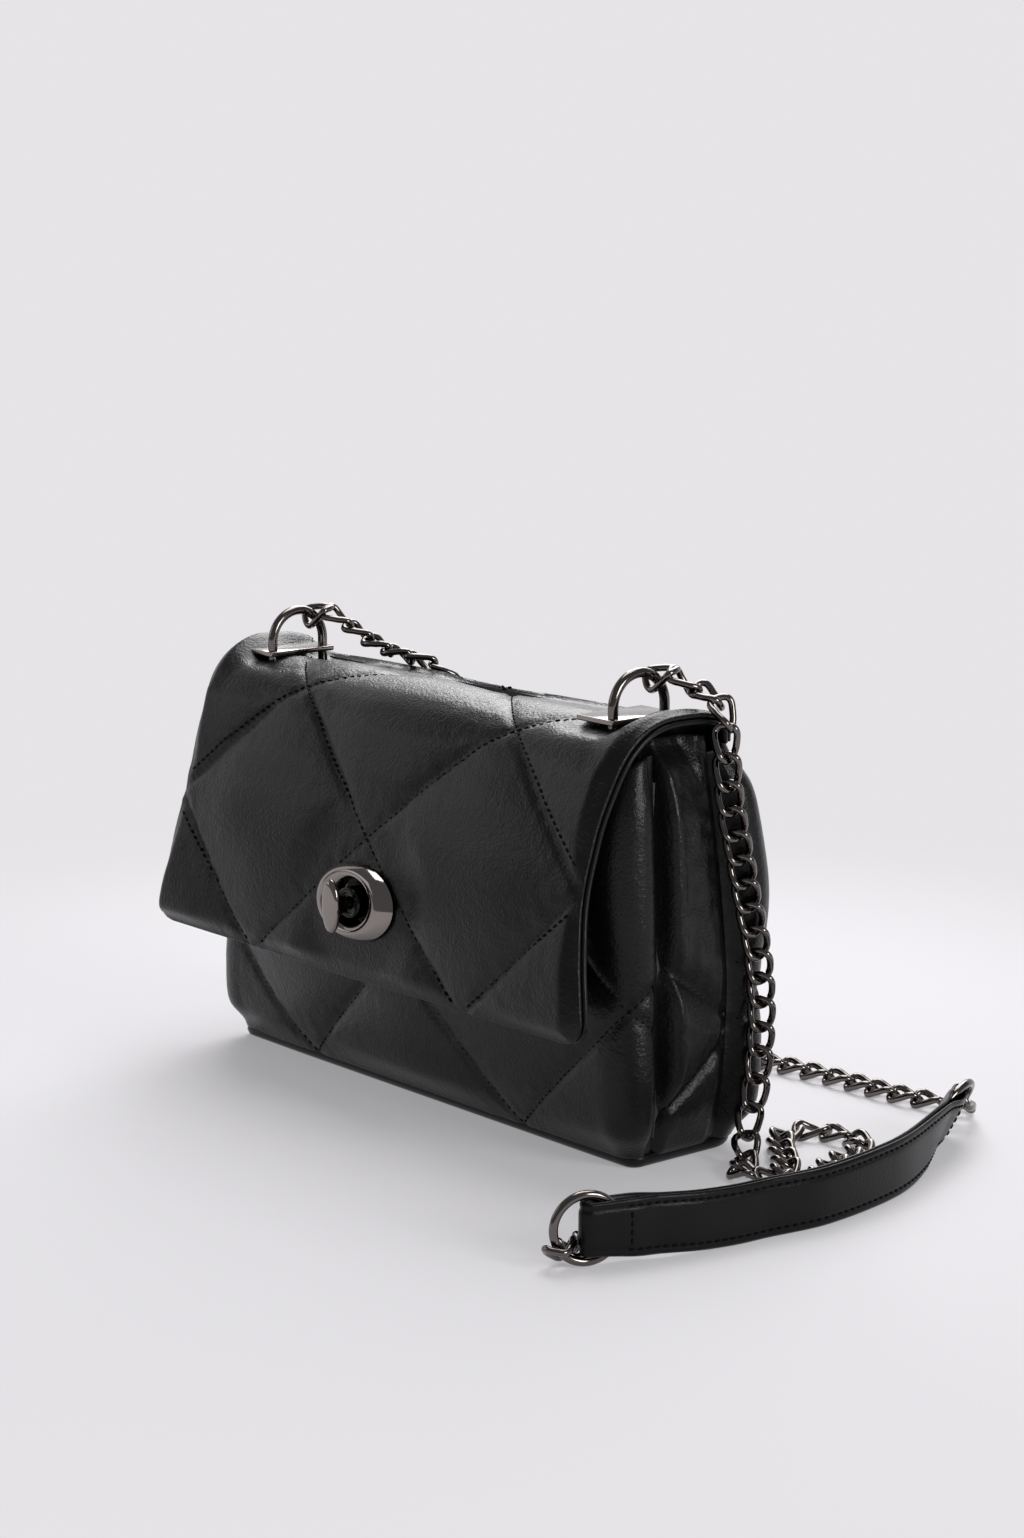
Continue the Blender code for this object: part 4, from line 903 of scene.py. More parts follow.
def insides():
    top = body["seamToBase"] - clearance
    rings = []
    for k in range(base["edgeSteps"] + 1):
        turn = math.pi * (k / base["edgeSteps"] - 0.5)
        inset = base["tuck"] + base["edge"] * (1 - math.cos(turn))
        rings.append(flatRing(top * k / base["edgeSteps"], inset, top * (1 + math.sin(turn)) / 2))
    settle(ringObject("basePanel", rings, edgeLeather), "bag", "leather", "base_panel")
    low = body["seamToBase"] + clearance
    rings = [flatRing(low, base["boardInset"], low + rise) for rise in (0, base["board"])]
    settle(ringObject("baseBoard", rings, fibreBoard), "bag", "board", "base_board")
    floor = body["seamToBase"] + base["board"] + 2 * clearance
    skin = body["wall"] + clearance
    steps = base["liningSteps"]
    heights = [floor + (base["liningTop"] - floor) * k / steps for k in range(steps + 1)]
    rings = [planRing(height, skin + (0 if k else base["liningTuck"])) for k, height in enumerate(heights)]
    for height in heights[:0:-1]:
        rings.append(planRing(height, skin + base["liningThick"]))
    rings.append(planRing(floor + base["liningThick"], skin + base["liningThick"] + base["liningTuck"]))
    settle(ringObject("liningBox", rings, liningCloth), "bag", "lining_cloth", "lining")
    inset = skin + base["liningThick"] + pocket["gap"]

    def at(r, c):
        height = pocket["low"] + pocket["height"] * r / pocket["rows"]
        along = pocket["halfWidth"] * (c / pocket["columns"] - 1)
        return [facePoint(height, along, deep, 1) for deep in (inset, inset + pocket["ply"])]

    grids = plies(pocket["rows"], 2 * pocket["columns"], at)
    settle(plyObject("slipPocket", *grids, liningCloth, roll=2), "bag", "lining_cloth", "inner_pocket")


insides()
print("body made")

# Flap: outer profile from the fold to the lower edge
flap = {
    "half": 0.1308, "thick": 0.0052, "lining": 0.0010, "sag": 0.006, "sagStart": 0.108,
    "sagEnd": 0.124, "rearSag": 0.62, "sagFrontY": -0.014, "sagRun": 0.020, "sagOnset": 0.010,
    "nodeArc": 0.0058, "roofPuff": 0.6, "roofEdge": 0.1516, "corner": 0.009, "ply": 0.0030,
    "step": 0.0019, "rimFade": 0.0065, "rimDrop": 0.0012, "edgeIn": 0.0010, "perKnot": 12,
    "shellGap": 0.0012, "liningGap": 0.0014, "liningIn": 0.0004, "rowTurn": 0.9, "rowsLeft": 0.1,
    "rowCrowd": 1.25, "columnCrowd": 1.12, "roll": 6, "holeWidth": 0.0125, "holeHeight": 0.0101,
    "holeOut": 0.006, "holeIn": -0.012, "holeSides": 48, "sideGap": 0.004, "inner": (0, 0, 0.09),
    "window": 4,
}
flapProfile = (
    (0.250, 1.003, 0.965), (0.237, 1.036, 0.965), (0.185, 1.068, 0.965), (0.07, 1.086, 0.965),
    (-0.08, 1.090, 0.964), (-0.205, 1.085, 0.963), (-0.315, 1.065, 0.961), (-0.405, 1.031, 0.958),
    (-0.478, 0.983, 0.953), (-0.538, 0.914, 0.942), (-0.590, 0.849, 0.936), (-0.628, 0.784, 0.933),
    (-0.667, 0.719, 0.934), (-0.699, 0.653, 0.940), (-0.724, 0.588, 0.952), (-0.744, 0.522, 0.965),
    (-0.763, 0.457, 0.982), (-0.776, 0.391, 0.995), (-0.781, 0.349, 1.0),
)
staple = {
    "x": 0.103, "frontY": -0.0194, "span": 0.0248, "rise": 0.0155, "wire": 0.0038, "leg": 0.0035,
    "steps": 48, "sides": 24, "plateWidth": 0.0195, "plateLength": 0.0312, "plateThick": 0.0020,
    "plateY": -0.007, "plateBevel": 0.0005, "bevelSteps": 4, "margin": 0.0015, "stitchGap": 0.001,
    "level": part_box("ring_plate_left")[0].z, "calm": 0.006,
}


def flapCurve():
    knots = [
        (k, depth * body["depth"], height * body["height"], half * flap["half"])
        for k, (depth, height, half) in enumerate(flapProfile)
    ]
    count = (len(knots) - 1) * flap["perKnot"]
    points = [smoothRows(knots, k / flap["perKnot"]) for k in range(count + 1)]
    return points, summed(math.dist(near[:2], far[:2]) for near, far in zip(points, points[1:]))


flapPoints, flapLengths = flapCurve()
flapLength = flapLengths[-1]


def flapStep(arc):
    return stepAt(flapLengths, min(max(arc, 0), flapLength))


def flapAt(arc):
    over = max(arc - flapLength, 0)
    at, t = flapStep(arc)
    ya, za, _ = flapPoints[at]
    yb, zb, _ = flapPoints[at + 1]
    near, far = max(at - flap["window"], 0), min(at + flap["window"] + 1, len(flapPoints) - 1)
    dy = flapPoints[far][0] - flapPoints[near][0]
    dz = flapPoints[far][1] - flapPoints[near][1]
    size = math.hypot(dy, dz)
    y, z = ya + t * (yb - ya) + over * dy / size, za + t * (zb - za) + over * dz / size
    return y, z, dz / size, -dy / size


def flapPoint(arc, x, inset):
    y, z, ny, nz = flapAt(arc)
    sag = flap["sag"] * (1 - ease((abs(x) - flap["sagStart"]) / (flap["sagEnd"] - flap["sagStart"])))
    rear = ease((y - flap["sagFrontY"]) / flap["sagRun"])
    sag *= 1 + flap["rearSag"] * rear
    z -= sag * max(nz, 0) ** (2 - rear) * ease(arc / flap["sagOnset"])
    return Vector((x, y - ny * inset, z - nz * inset))


def flapSide(arc):
    at, t = flapStep(arc)
    return flapPoints[at][2] + t * (flapPoints[at + 1][2] - flapPoints[at][2])


def flapHalf(arc):
    # The half width, with the lower corners rounded
    left = flapLength - arc
    half = flapSide(arc)
    if left < flap["corner"]:
        half -= flap["corner"] - math.sqrt(max(flap["corner"] ** 2 - (flap["corner"] - left) ** 2, 0))
    return half


def fromPlate(x):
    # How far a column is from the middle of its ring plate
    return abs(abs(x) - staple["x"] + staple["plateWidth"] / 2 - staple["margin"])


def flapCalm(x, arc):
    y, height = flapAt(arc)[:2]
    if arc > flapLength / 2:
        return lockCalm(x, height)
    offX = max(fromPlate(x) - staple["plateWidth"] / 2, 0)
    offY = max(abs(y - staple["frontY"] - staple["span"] / 2) - staple["plateLength"] / 2, 0)
    quiet = ease((math.hypot(offX, offY) - staple["calm"] / 2) / staple["calm"])
    lower = ease((flap["roofEdge"] - height) / staple["calm"])
    return quiet * (flap["roofPuff"] + (1 - flap["roofPuff"]) * lower)


def flapSurface(x, up):
    arc = up + flap["nodeArc"]
    half = flapHalf(min(arc, flapLength))
    rim = ease(min(half - abs(x), arc, flapLength - arc) / flap["rimFade"])
    scaled = x * 2 * quilt["halfWidth"] / flapSide(arc)
    relief = quiltRelief(scaled, up, flapCalm(x, arc) * rim, seeds["flap"])
    return flapPoint(arc, x, quilt["sink"] - relief + flap["rimDrop"] * (1 - rim))


def flapRow(share):
    # Rows lie closer together towards the lower edge
    if share > flap["rowTurn"]:
        return flapLength * (1 - (1 - share) ** flap["rowCrowd"])
    return flapLength * share * (1 - flap["rowsLeft"] ** flap["rowCrowd"]) / flap["rowTurn"]


def flapPly(name, outerInset, innerInset, extra, material, node):
    rows = int(flapLength / flap["step"])
    columns = 2 * int(flap["half"] / flap["step"])

    def at(r, c):
        arc = flapRow(r / rows)
        t = 2 * c / columns - 1
        x = (flapHalf(arc) + extra) * math.copysign(1 - (1 - abs(t)) ** flap["columnCrowd"], t)
        outer = flapPoint(arc, x, outerInset) if outerInset else flapSurface(x, arc - flap["nodeArc"])
        return outer, flapPoint(arc, x, innerInset)

    piece = plyObject(name, *plies(rows, columns, at), material, flap["roll"])
    cut = [
        flapOval(flap["holeWidth"], flap["holeHeight"], rise, flap["holeSides"])
        for rise in (flap["holeOut"], flap["holeIn"])
    ]
    cutHole(piece, ringObject(name + "Hole", cut, material))
    return settle(piece, "flap", "leather", node)


bezel = {
    "halfWidth": 0.0236, "halfHeight": 0.0147, "rise": 0.0048, "holeWidth": 0.0115,
    "holeHeight": 0.0091, "sleeve": 0.0007, "keeperThick": 0.0008, "keeperHeight": 0.0122,
    "steps": 22, "sides": 96, "domeStart": 0.02, "domeSpan": 0.98, "domeTurn": 0.78,
    "domeShift": 0.05, "domePower": 0.8, "stitchWidth": 0.0232, "stitchHeight": 0.0146,
}


# The lock lies in the flap's plane at its height
def arcAtHeight(height):
    low, high = flapLength / 2, flapLength
    for _ in range(lock["halvings"]):
        middle = (low + high) / 2
        if flapAt(middle)[1] > height:
            low = middle
        else:
            high = middle
    return low


lockArc = arcAtHeight(lock["height"])
lockY, lockZ, lockOutY, lockOutZ = flapAt(lockArc)


def flapOval(halfWidth, halfHeight, rise, count):
    return [
        Vector((p.x, lockY + lockOutY * rise + lockOutZ * p.z, lockZ + lockOutZ * rise - lockOutY * p.z))
        for p in oval(halfWidth, halfHeight, 0, 0, count)
    ]


def flapBow(halfHeight):
    near = [
        (y - lockY) * lockOutY + (z - lockZ) * lockOutZ
        for (y, z, _), length in zip(flapPoints, flapLengths) if abs(length - lockArc) < halfHeight
    ]
    return min(near), max(near)


flapInside = flap["thick"] + clearance + flap["lining"]
shell = flapPly("flapShell", None, flap["ply"] + flap["shellGap"], -flap["edgeIn"], leather, "flap_shell")
flapPly(
    "flapLining", flap["ply"] + flap["liningGap"], flapInside, -flap["liningIn"], edgeLeather,
    "flap_lining",
)


def flapStitches():
    def keep(x, up):
        arc = up + flap["nodeArc"]
        y, z = flapAt(arc)[:2]
        if arc > flapLength / 2:
            away = (x / bezel["stitchWidth"]) ** 2 + ((z - lock["height"]) / bezel["stitchHeight"]) ** 2
            covered = away < 1
        else:
            covered = (
                fromPlate(x) < staple["plateWidth"] / 2 + staple["stitchGap"]
                and abs(y - staple["plateY"]) < staple["plateLength"] / 2 + staple["stitchGap"]
            )
        inside = stitch["edgeGap"] < arc < flapLength - stitch["edgeGap"]
        return inside and abs(x) < flapHalf(arc) - flap["sideGap"] and not covered

    places = []
    low = -flap["nodeArc"]
    for place, along, facing in latticeSeams(flapSurface, stitch["flapReach"], low, flapLength, keep):
        if facing.dot(place - Vector(flap["inner"])) < 0:
            place, facing = place - facing * 2 * stitch["rise"], -facing
        places.append((place, along, facing))
    sew("flap", "flap", places)


flapStitches()
print("flap made")

# Turn lock

bezelSeat = flapBow(bezel["halfHeight"])[1] - quilt["sink"] + clearance
keeperSeat = flapBow(bezel["keeperHeight"])[0] - flapInside - clearance


def bezelPiece():
    rings = []
    for k in range(bezel["steps"] + 1):
        # A dome that is fullest over its outer third and turns down into the hole
        t = k / bezel["steps"]
        turn = math.pi * (bezel["domeStart"] + bezel["domeSpan"] * t) * bezel["domeTurn"]
        rise = bezel["rise"] * max(math.sin(turn + bezel["domeShift"]) ** bezel["domePower"], 0)
        wide = bezel["halfWidth"] + (bezel["holeWidth"] - bezel["halfWidth"]) * t
        high = bezel["halfHeight"] + (bezel["holeHeight"] - bezel["halfHeight"]) * t
        rings.append(flapOval(wide, high, bezelSeat + rise, bezel["sides"]))
    tail = keeperSeat - bezel["keeperThick"]
    for wall, level in ((0, tail), (bezel["sleeve"], tail), (bezel["sleeve"], bezelSeat)):
        rings.append(flapOval(bezel["holeWidth"] + wall, bezel["holeHeight"] + wall, level, bezel["sides"]))
    settle(ringObject("lockBezel", rings, gunmetal, closed=True, angle=55), "flap", "gunmetal", "lock_bezel")


# Post: share of its length, half width and half height; then the mouth the toggle's neck turns in
postPlan = (
    (0, 0.0085, 0.0070), (0.14, 0.0085, 0.0070), (0.25, 0.0078, 0.0066), (0.93, 0.0069, 0.0060),
    (0.98, 0.0066, 0.0058), (1, 0.0058, 0.0051),
)
mouthPlan = (
    (0.0048, 0.0042, 0.0003), (0.0043, 0.0038, 0.0011), (0.0026, 0.0026, 0.0013),
    (0.0024, 0.0024, 0.0083),
)


def postPiece():
    tip, foot = (corner.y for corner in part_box("lock_post"))
    rings = [
        (wide, high, foot - (foot - tip) * along) for along, wide, high in postPlan
    ] + [(wide, high, tip + deep) for wide, high, deep in mouthPlan]
    rings = [oval(wide, high, y, lock["height"], lock["sides"]) for wide, high, y in rings]
    settle(ringObject("lockPost", rings, shadedBlackMetal), "bag", "dark_metal", "lock_post")
    return tip


postTip = postPiece()


toggle = {"neck": 0.0056, "blade": 0.0036, "perRow": 4}


def togglePiece(tip):
    # Neck that leaves the post and widens into the upright blade
    neckEnd = tip - toggle["neck"]
    front = neckEnd - toggle["blade"]
    plan = (
        (0.0020, 0.0020, tip + 0.0077), (0.0020, 0.0020, tip - 0.0003), (0.0027, 0.0034, tip - 0.0011),
        (0.0027, 0.0036, tip - 0.0028), (0.0031, 0.0047, tip - 0.0040), (0.0038, 0.0074, neckEnd + 0.0002),
        (0.0045, 0.0096, neckEnd - 0.0006), (0.0048, 0.0103, neckEnd - 0.0016),
        (0.0047, 0.0101, neckEnd - 0.0024), (0.0040, 0.0093, front + 0.0004), (0.0027, 0.0078, front),
        (0.0011, 0.0050, front - 0.0001),
    )
    rows = [(k, *row) for k, row in enumerate(plan)]
    rings = []
    for k in range((len(plan) - 1) * toggle["perRow"] + 1):
        wide, high, y = smoothRows(rows, k / toggle["perRow"])
        wide, high = max(wide, clearance), max(high, clearance)
        rings.append(oval(wide, high, y, lock["height"], lock["sides"]))
    settle(ringObject("lockToggle", rings, gunmetal, angle=60), "toggle", "gunmetal", "lock_toggle")


bezelPiece()
togglePiece(postTip)
for nodeName, finish in (
    ("lock_base_plate", gunmetal), ("bezel_keeper", darkMetal), ("lock_anchor_plate", darkMetal),
    ("ring_washer_left", darkMetal), ("ring_washer_right", darkMetal),
):
    nodes[nodeName].data.materials.clear()
    nodes[nodeName].data.materials.append(finish)
print("lock made")


# Staple rings and their plates
def tubeRings(centres, radius, sides):
    rings = []
    for k, centre in enumerate(centres):
        near, far = centres[max(k - 1, 0)], centres[min(k + 1, len(centres) - 1)]
        along = (far - near).normalized()
        side = Vector((1, 0, 0))
        up = along.cross(side).normalized()
        side = up.cross(along).normalized()
        rings.append([
            centre + radius * (math.cos(t) * side + math.sin(t) * up)
            for t in (2 * math.pi * j / sides for j in range(sides))
        ])
    return rings


def staplePieces(name, sign):
    x = sign * staple["x"]
    half = staple["span"] / 2
    middle = staple["frontY"] + half
    top = staple["level"] + staple["plateThick"]
    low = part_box("staple_ring_" + name)[0].z
    centres = [Vector((x, middle - half, low)), Vector((x, middle - half, top))]
    for k in range(staple["steps"] + 1):
        turn = math.pi * k / staple["steps"]
        centres.append(Vector((
            x, middle - half * math.cos(turn),
            top + staple["leg"] + (staple["rise"] - staple["leg"]) * math.sin(turn),
        )))
    centres += [Vector((x, middle + half, top)), Vector((x, middle + half, low))]
    rings = tubeRings(centres, staple["wire"] / 2, staple["sides"])
    ring = ringObject("stapleRing" + name.title(), rings, shadedGunmetal)
    settle(ring, "flap", "gunmetal", "staple_ring_" + name)
    lowCorner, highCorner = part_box("ring_plate_" + name)
    mesh = bpy.data.meshes.new("ringPlate")
    shape = bmesh.new()
    bmesh.ops.create_cube(shape, size=1)
    for vert in shape.verts:
        vert.co = Vector(
            (lowCorner[k] + highCorner[k]) / 2 + vert.co[k] * (highCorner[k] - lowCorner[k]) for k in range(3)
        )
    shape.to_mesh(mesh)
    shape.free()
    plate = linked("ringPlate" + name.title(), mesh)
    mesh.materials.append(gunmetal)
    soften = plate.modifiers.new("soft", "BEVEL")
    soften.width = staple["plateBevel"]
    soften.segments = staple["bevelSteps"]
    applyModifiers(plate)
    plate.data.shade_smooth()
    plate.data.set_sharp_from_angle(angle=math.radians(45))
    settle(plate, "flap", "gunmetal", "ring_plate_" + name)


staplePieces("left", -1)
staplePieces("right", 1)

# Chain strap: routes, each point with the way its flat side faces
flatUp = (0.0, 0.0, 1.0)
floorLevel = 0.0032


def facingWay(way, *points):
    return [(point, way) for point in points]


def onFloor(*spots):
    return facingWay(flatUp, *((x, y, floorLevel) for x, y in spots))


rightRoute = (
    ((0.1185, 0.0100, 0.1698), (0.2, 0.1, 1.0)), ((0.1250, 0.0106, 0.1682), (0.5, 0.1, 1.0)),
    ((0.1297, 0.0100, 0.1635), (1.0, 0.1, 0.8)), ((0.1315, 0.0088, 0.1550), (0.95, -0.3, 0.1)),
    *facingWay(
        (0.85, -0.53, 0.0), (0.1328, 0.0100, 0.1330), (0.1340, 0.0137, 0.1140), (0.1345, 0.0180, 0.0950),
        (0.1350, 0.0227, 0.0760), (0.1354, 0.0245, 0.0570), (0.1357, 0.0235, 0.0380),
    ),
    ((0.1358, 0.0208, 0.0220), (0.85, -0.50, 0.2)), ((0.1380, 0.0150, 0.0100), (0.7, 0.0, 0.7)),
    ((0.1450, 0.0085, 0.0040), (0.1, 0.0, 1.0)),
    *onFloor(
        (0.1530, -0.0010), (0.1620, -0.0020), (0.1650, 0.0070), (0.1580, 0.0155), (0.1490, 0.0230),
        (0.1390, 0.0315), (0.1320, 0.0415), (0.1350, 0.0520), (0.1460, 0.0560), (0.1570, 0.0550),
        (0.1640, 0.0460), (0.1670, 0.0330), (0.1740, 0.0180), (0.1820, 0.0040), (0.1890, -0.0100),
        (0.1890, -0.0400), (0.1840, -0.0650), (0.1760, -0.0850),
    ),
)
leftRoute = (
    ((-0.0850, 0.0120, 0.1678), (0.0, 0.3, 1.0)), ((-0.0740, 0.0150, 0.1632), (0.0, 0.2, 1.0)),
    ((-0.0640, 0.0180, 0.1608), (0.0, 0.4, 1.0)), ((-0.0560, 0.0225, 0.1585), (0.0, 0.7, 0.7)),
    ((-0.0505, 0.0270, 0.1530), (0.0, 0.9, 0.4)),
    *facingWay((0.0, 1.0, 0.3), (-0.0465, 0.0315, 0.1450), (-0.0425, 0.0362, 0.1340)),
    *facingWay((0.0, 1.0, 0.2), (-0.0400, 0.0405, 0.1200), (-0.0370, 0.0440, 0.1000)),
    ((-0.0340, 0.0470, 0.0780), (0.0, 1.0, 0.1)),
    *facingWay((0.0, 1.0, 0.0), (-0.0310, 0.0480, 0.0550), (-0.0290, 0.0485, 0.0350)),
    ((-0.0280, 0.0510, 0.0190), (0.0, 1.0, 0.2)), ((-0.0240, 0.0575, 0.0080), (0.0, 0.6, 0.8)),
    *onFloor(
        (-0.0140, 0.0670), (0.0050, 0.0830), (0.0300, 0.0970), (0.0600, 0.1050), (0.0900, 0.1090),
        (0.1200, 0.1110), (0.1380, 0.1150),
    ),
    ((0.1480, 0.1180, 0.0034), flatUp),
)
hang = {
    "perKnot": 40, "trims": 16, "trimLow": 0.85, "trimHigh": 1.15, "weld": 0.20, "stapleTurn": 0.87,
    "linkWay": (0.85, 0.35, 0.40), "rightSecond": (0.50, 0.60, -0.62),
    "leftSecond": (0.72, 0.48, -0.50), "frontTurn": 0.60, "rearTurn": 0.0,
    "rightLast": (0.44, -0.87, 0.22), "leftLast": (0.63, -0.60, 0.48),
}

# Shoulder pad
pad = {
    "height": 0.0205, "ply": 0.0018, "pocket": 0.0038, "pocketLength": 0.0130, "tab": 0.0350,
    "foldHeight": 0.0186, "settle": 0.0600, "ringRadius": 0.0115, "ringWire": 0.0031,
    "ringReach": 0.0012, "ringSteps": 72, "ringSides": 18, "stitchShare": 0.75, "stitchIn": 0.0135,
    "stitchRise": 0.00025, "endStitches": 4, "groove": 0.0005, "grooveWidth": 0.0008,
    "perKnot": 20, "tabSteps": 14, "foldSteps": 16, "steps": 140, "backingSteps": 80,
    "halfSteps": 12, "edgePower": 10, "edgeLeast": 0.25, "full": 0.00018,
    "window": 2, "foldShare": 3,
}
padRoute = (
    (0.1885, -0.1042), (0.1910, -0.0980), (0.1948, -0.0885), (0.1988, -0.0770), (0.2019, -0.0650),
    (0.2040, -0.0430), (0.2030, -0.0140), (0.1955, 0.0220), (0.1855, 0.0480), (0.1752, 0.0700),
    (0.1700, 0.0820), (0.1665, 0.0920),
)

# Share of the strap's length, how far it stands out from its route there, and its lean
padLie = (
    (0.0, 0.0, 0.0), (0.31, 0.0, 0.0), (0.45, 0.0045, 0.0), (0.63, 0.0070, 0.0), (0.77, 0.0070, -0.10),
    (0.88, 0.0055, -0.35), (0.95, 0.0030, -0.50), (1.0, 0.0, -0.55),
)


def padCurve():
    knots = [(k, x, y) for k, (x, y) in enumerate(padRoute)]
    count = (len(knots) - 1) * pad["perKnot"]
    points = [Vector((*smoothRows(knots, k / pad["perKnot"]), 0)) for k in range(count + 1)]
    return points, summed((b - a).length for a, b in zip(points, points[1:]))


padPoints, padLengths = padCurve()
padLength = padLengths[-1]


def padAt(run):
    at, t = stepAt(padLengths, min(max(run, 0), padLength))
    near, far = max(at - pad["window"], 0), min(at + pad["window"] + 1, len(padPoints) - 1)
    along = (padPoints[far] - padPoints[near]).normalized()
    return padPoints[at].lerp(padPoints[at + 1], t), along, Vector((along.y, -along.x, 0))


def plyOffset(run):
    closed, opened = (pad["ply"] + clearance) / 2, (pad["ply"] + pad["pocket"]) / 2
    fromEnd = min(run, padLength - run)
    return opened + (closed - opened) * ease((fromEnd - pad["pocketLength"]) / pad["pocketLength"])


def padFrame(run):
    flat, along, levelOut = padAt(run)
    shift, lean = smoothRows(padLie, min(max(run / padLength, 0), 1))
    flat = flat + shift * levelOut
    up = math.cos(lean) * Vector((0, 0, 1)) - math.sin(lean) * levelOut
    out = math.cos(lean) * levelOut + math.sin(lean) * Vector((0, 0, 1))
    fromEnd = min(run, padLength - run)
    strap = math.cos(lean) * pad["height"] / 2 + abs(math.sin(lean)) * (plyOffset(run) + pad["ply"])
    ring = math.cos(lean) * pad["ringRadius"] + pad["ringWire"] / 2
    level = max(strap, strap + (ring - strap) * (1 - ease(fromEnd / pad["settle"]))) + clearance
    return Vector((flat.x, flat.y, level)), along, out, up


def padHalf(run):
    fromEnd = min(run, padLength - run)
    grown = ease(pad["foldShare"] * fromEnd / pad["settle"])
    return (pad["foldHeight"] + (pad["height"] - pad["foldHeight"]) * grown) / 2


def padStation(run, side):
    centre, along, out, up = padFrame(run)
    return centre + side * plyOffset(run) * out, side * out, up, padHalf(run)


def padFold(end):
    run = 0 if end < 0 else padLength
    centre, along, out, up = padFrame(run)
    stations = []
    for k in range(1, pad["foldSteps"]):
        turn = math.pi * k / pad["foldSteps"]
        way = math.cos(turn) * out + math.sin(turn) * along * end
        stations.append((centre + plyOffset(run) * way, way, up, padHalf(run)))
    return stations


def strapRings(stations):
    # A strap's cross section: flat faces, edges rounded and faces a touch full
    rings = []
    for centre, out, up, half in stations:
        ring = []
        for side in (1, -1):
            for k in range(2 * pad["halfSteps"] + 1):
                rise = side * (1 - k / pad["halfSteps"])
                edge = (1 - abs(rise) ** pad["edgePower"]) ** 0.5 if abs(rise) < 1 else 0
                full = pad["full"] * (1 - rise**2)
                if side > 0:
                    off = (abs(rise) - pad["stitchShare"]) * half
                    full -= pad["groove"] * math.exp(-((off / pad["grooveWidth"]) ** 2))
                thick = pad["ply"] / 2 * max(edge, pad["edgeLeast"]) + full
                ring.append(centre + side * out * thick + up * half * rise)
        rings.append(ring)
    return rings


def padPieces():
    def strap(name, stations, node):
        rings = strapRings(stations)
        return settle(ringObject(name, rings, strapLeather, angle=70), "bag", "leather", node)

    tabRuns = [pad["tab"] * (1 - k / pad["tabSteps"]) for k in range(pad["tabSteps"] + 1)]
    stations = [padStation(run, -1) for run in tabRuns]
    stations += padFold(-1)[::-1]
    stations += [padStation(padLength * k / pad["steps"], 1) for k in range(pad["steps"] + 1)]
    stations += padFold(1)
    stations += [padStation(padLength - run, -1) for run in tabRuns[::-1]]
    strap("padLeather", stations, "pad_leather")
    start, end = pad["tab"] + clearance, padLength - pad["tab"] - clearance
    runs = [start + (end - start) * k / pad["backingSteps"] for k in range(pad["backingSteps"] + 1)]
    strap("padBacking", [padStation(run, -1) for run in runs], "pad_backing")


def padRing(name, end):
    centre, along, out, up = padFrame(0 if end < 0 else padLength)
    middle = centre + along * end * pad["ringReach"]
    rings = []
    for k in range(pad["ringSteps"]):
        turn = 2 * math.pi * k / pad["ringSteps"]
        way = math.cos(turn) * along + math.sin(turn) * up
        rings.append([
            middle + pad["ringRadius"] * way
            + pad["ringWire"] / 2 * (math.cos(t) * way + math.sin(t) * out)
            for t in (2 * math.pi * j / pad["ringSides"] for j in range(pad["ringSides"]))
        ])
    ring = ringObject("padRing" + name, rings, shadedGunmetal, closed=True)
    settle(ring, "bag", "gunmetal", "pad_ring_" + name.lower())


def padStitches():
    places = []
    first, last = pad["stitchIn"], padLength - pad["stitchIn"]

    def mark(run, rise, vertical):
        centre, along, out, up = padFrame(run)
        lift = plyOffset(run) + pad["ply"] / 2 - (0 if vertical else pad["groove"])
        here = centre + out * (lift + pad["stitchRise"]) + up * rise * padHalf(run) * pad["stitchShare"]
        places.append((here, up if vertical else along, out))

    count = int((last - first) / stitch["pitch"])
    for k in range(count + 1):
        for rise in (-1, 1):
            mark(first + (last - first) * k / count, rise, False)
    for run in (first, last):
        for k in range(1, pad["endStitches"] + 1):
            mark(run, 2 * k / (pad["endStitches"] + 1) - 1, True)
    sew("pad", "bag", places, length=stitch["length"], radius=stitch["padRadius"])


padPieces()
padRing("Front", -1)
padRing("Rear", 1)
padStitches()
print("pad made")


def smoothRoute(route):
    knots = [(k, *point, *facing) for k, (point, facing) in enumerate(route)]
    count = (len(knots) - 1) * hang["perKnot"]
    rows = [smoothRows(knots, k / hang["perKnot"]) for k in range(count + 1)]
    return [(Vector(row[:3]), Vector(row[3:]).normalized()) for row in rows]


def walkRoute(samples, pitches):
    places = [samples[0]]
    for point, facing in samples:
        if len(places) > len(pitches):
            break
        if (point - places[-1][0]).length >= pitches[len(places) - 1]:
            places.append((point, facing))
    return places


def linkPlaces(route, pitches, lastCount):
    # The last stretch's pitch is trimmed until the chain ends at the pad's ring
    samples = smoothRoute(route)
    low, high = hang["trimLow"], hang["trimHigh"]
    for _ in range(hang["trims"]):
        trim = (low + high) / 2
        trimmed = pitches[:-lastCount] + [pitch * trim for pitch in pitches[-lastCount:]]
        if len(walkRoute(samples, trimmed)) > len(pitches):
            low = trim
        else:
            high = trim
    return walkRoute(samples, pitches[:-lastCount] + [pitch * low for pitch in pitches[-lastCount:]])


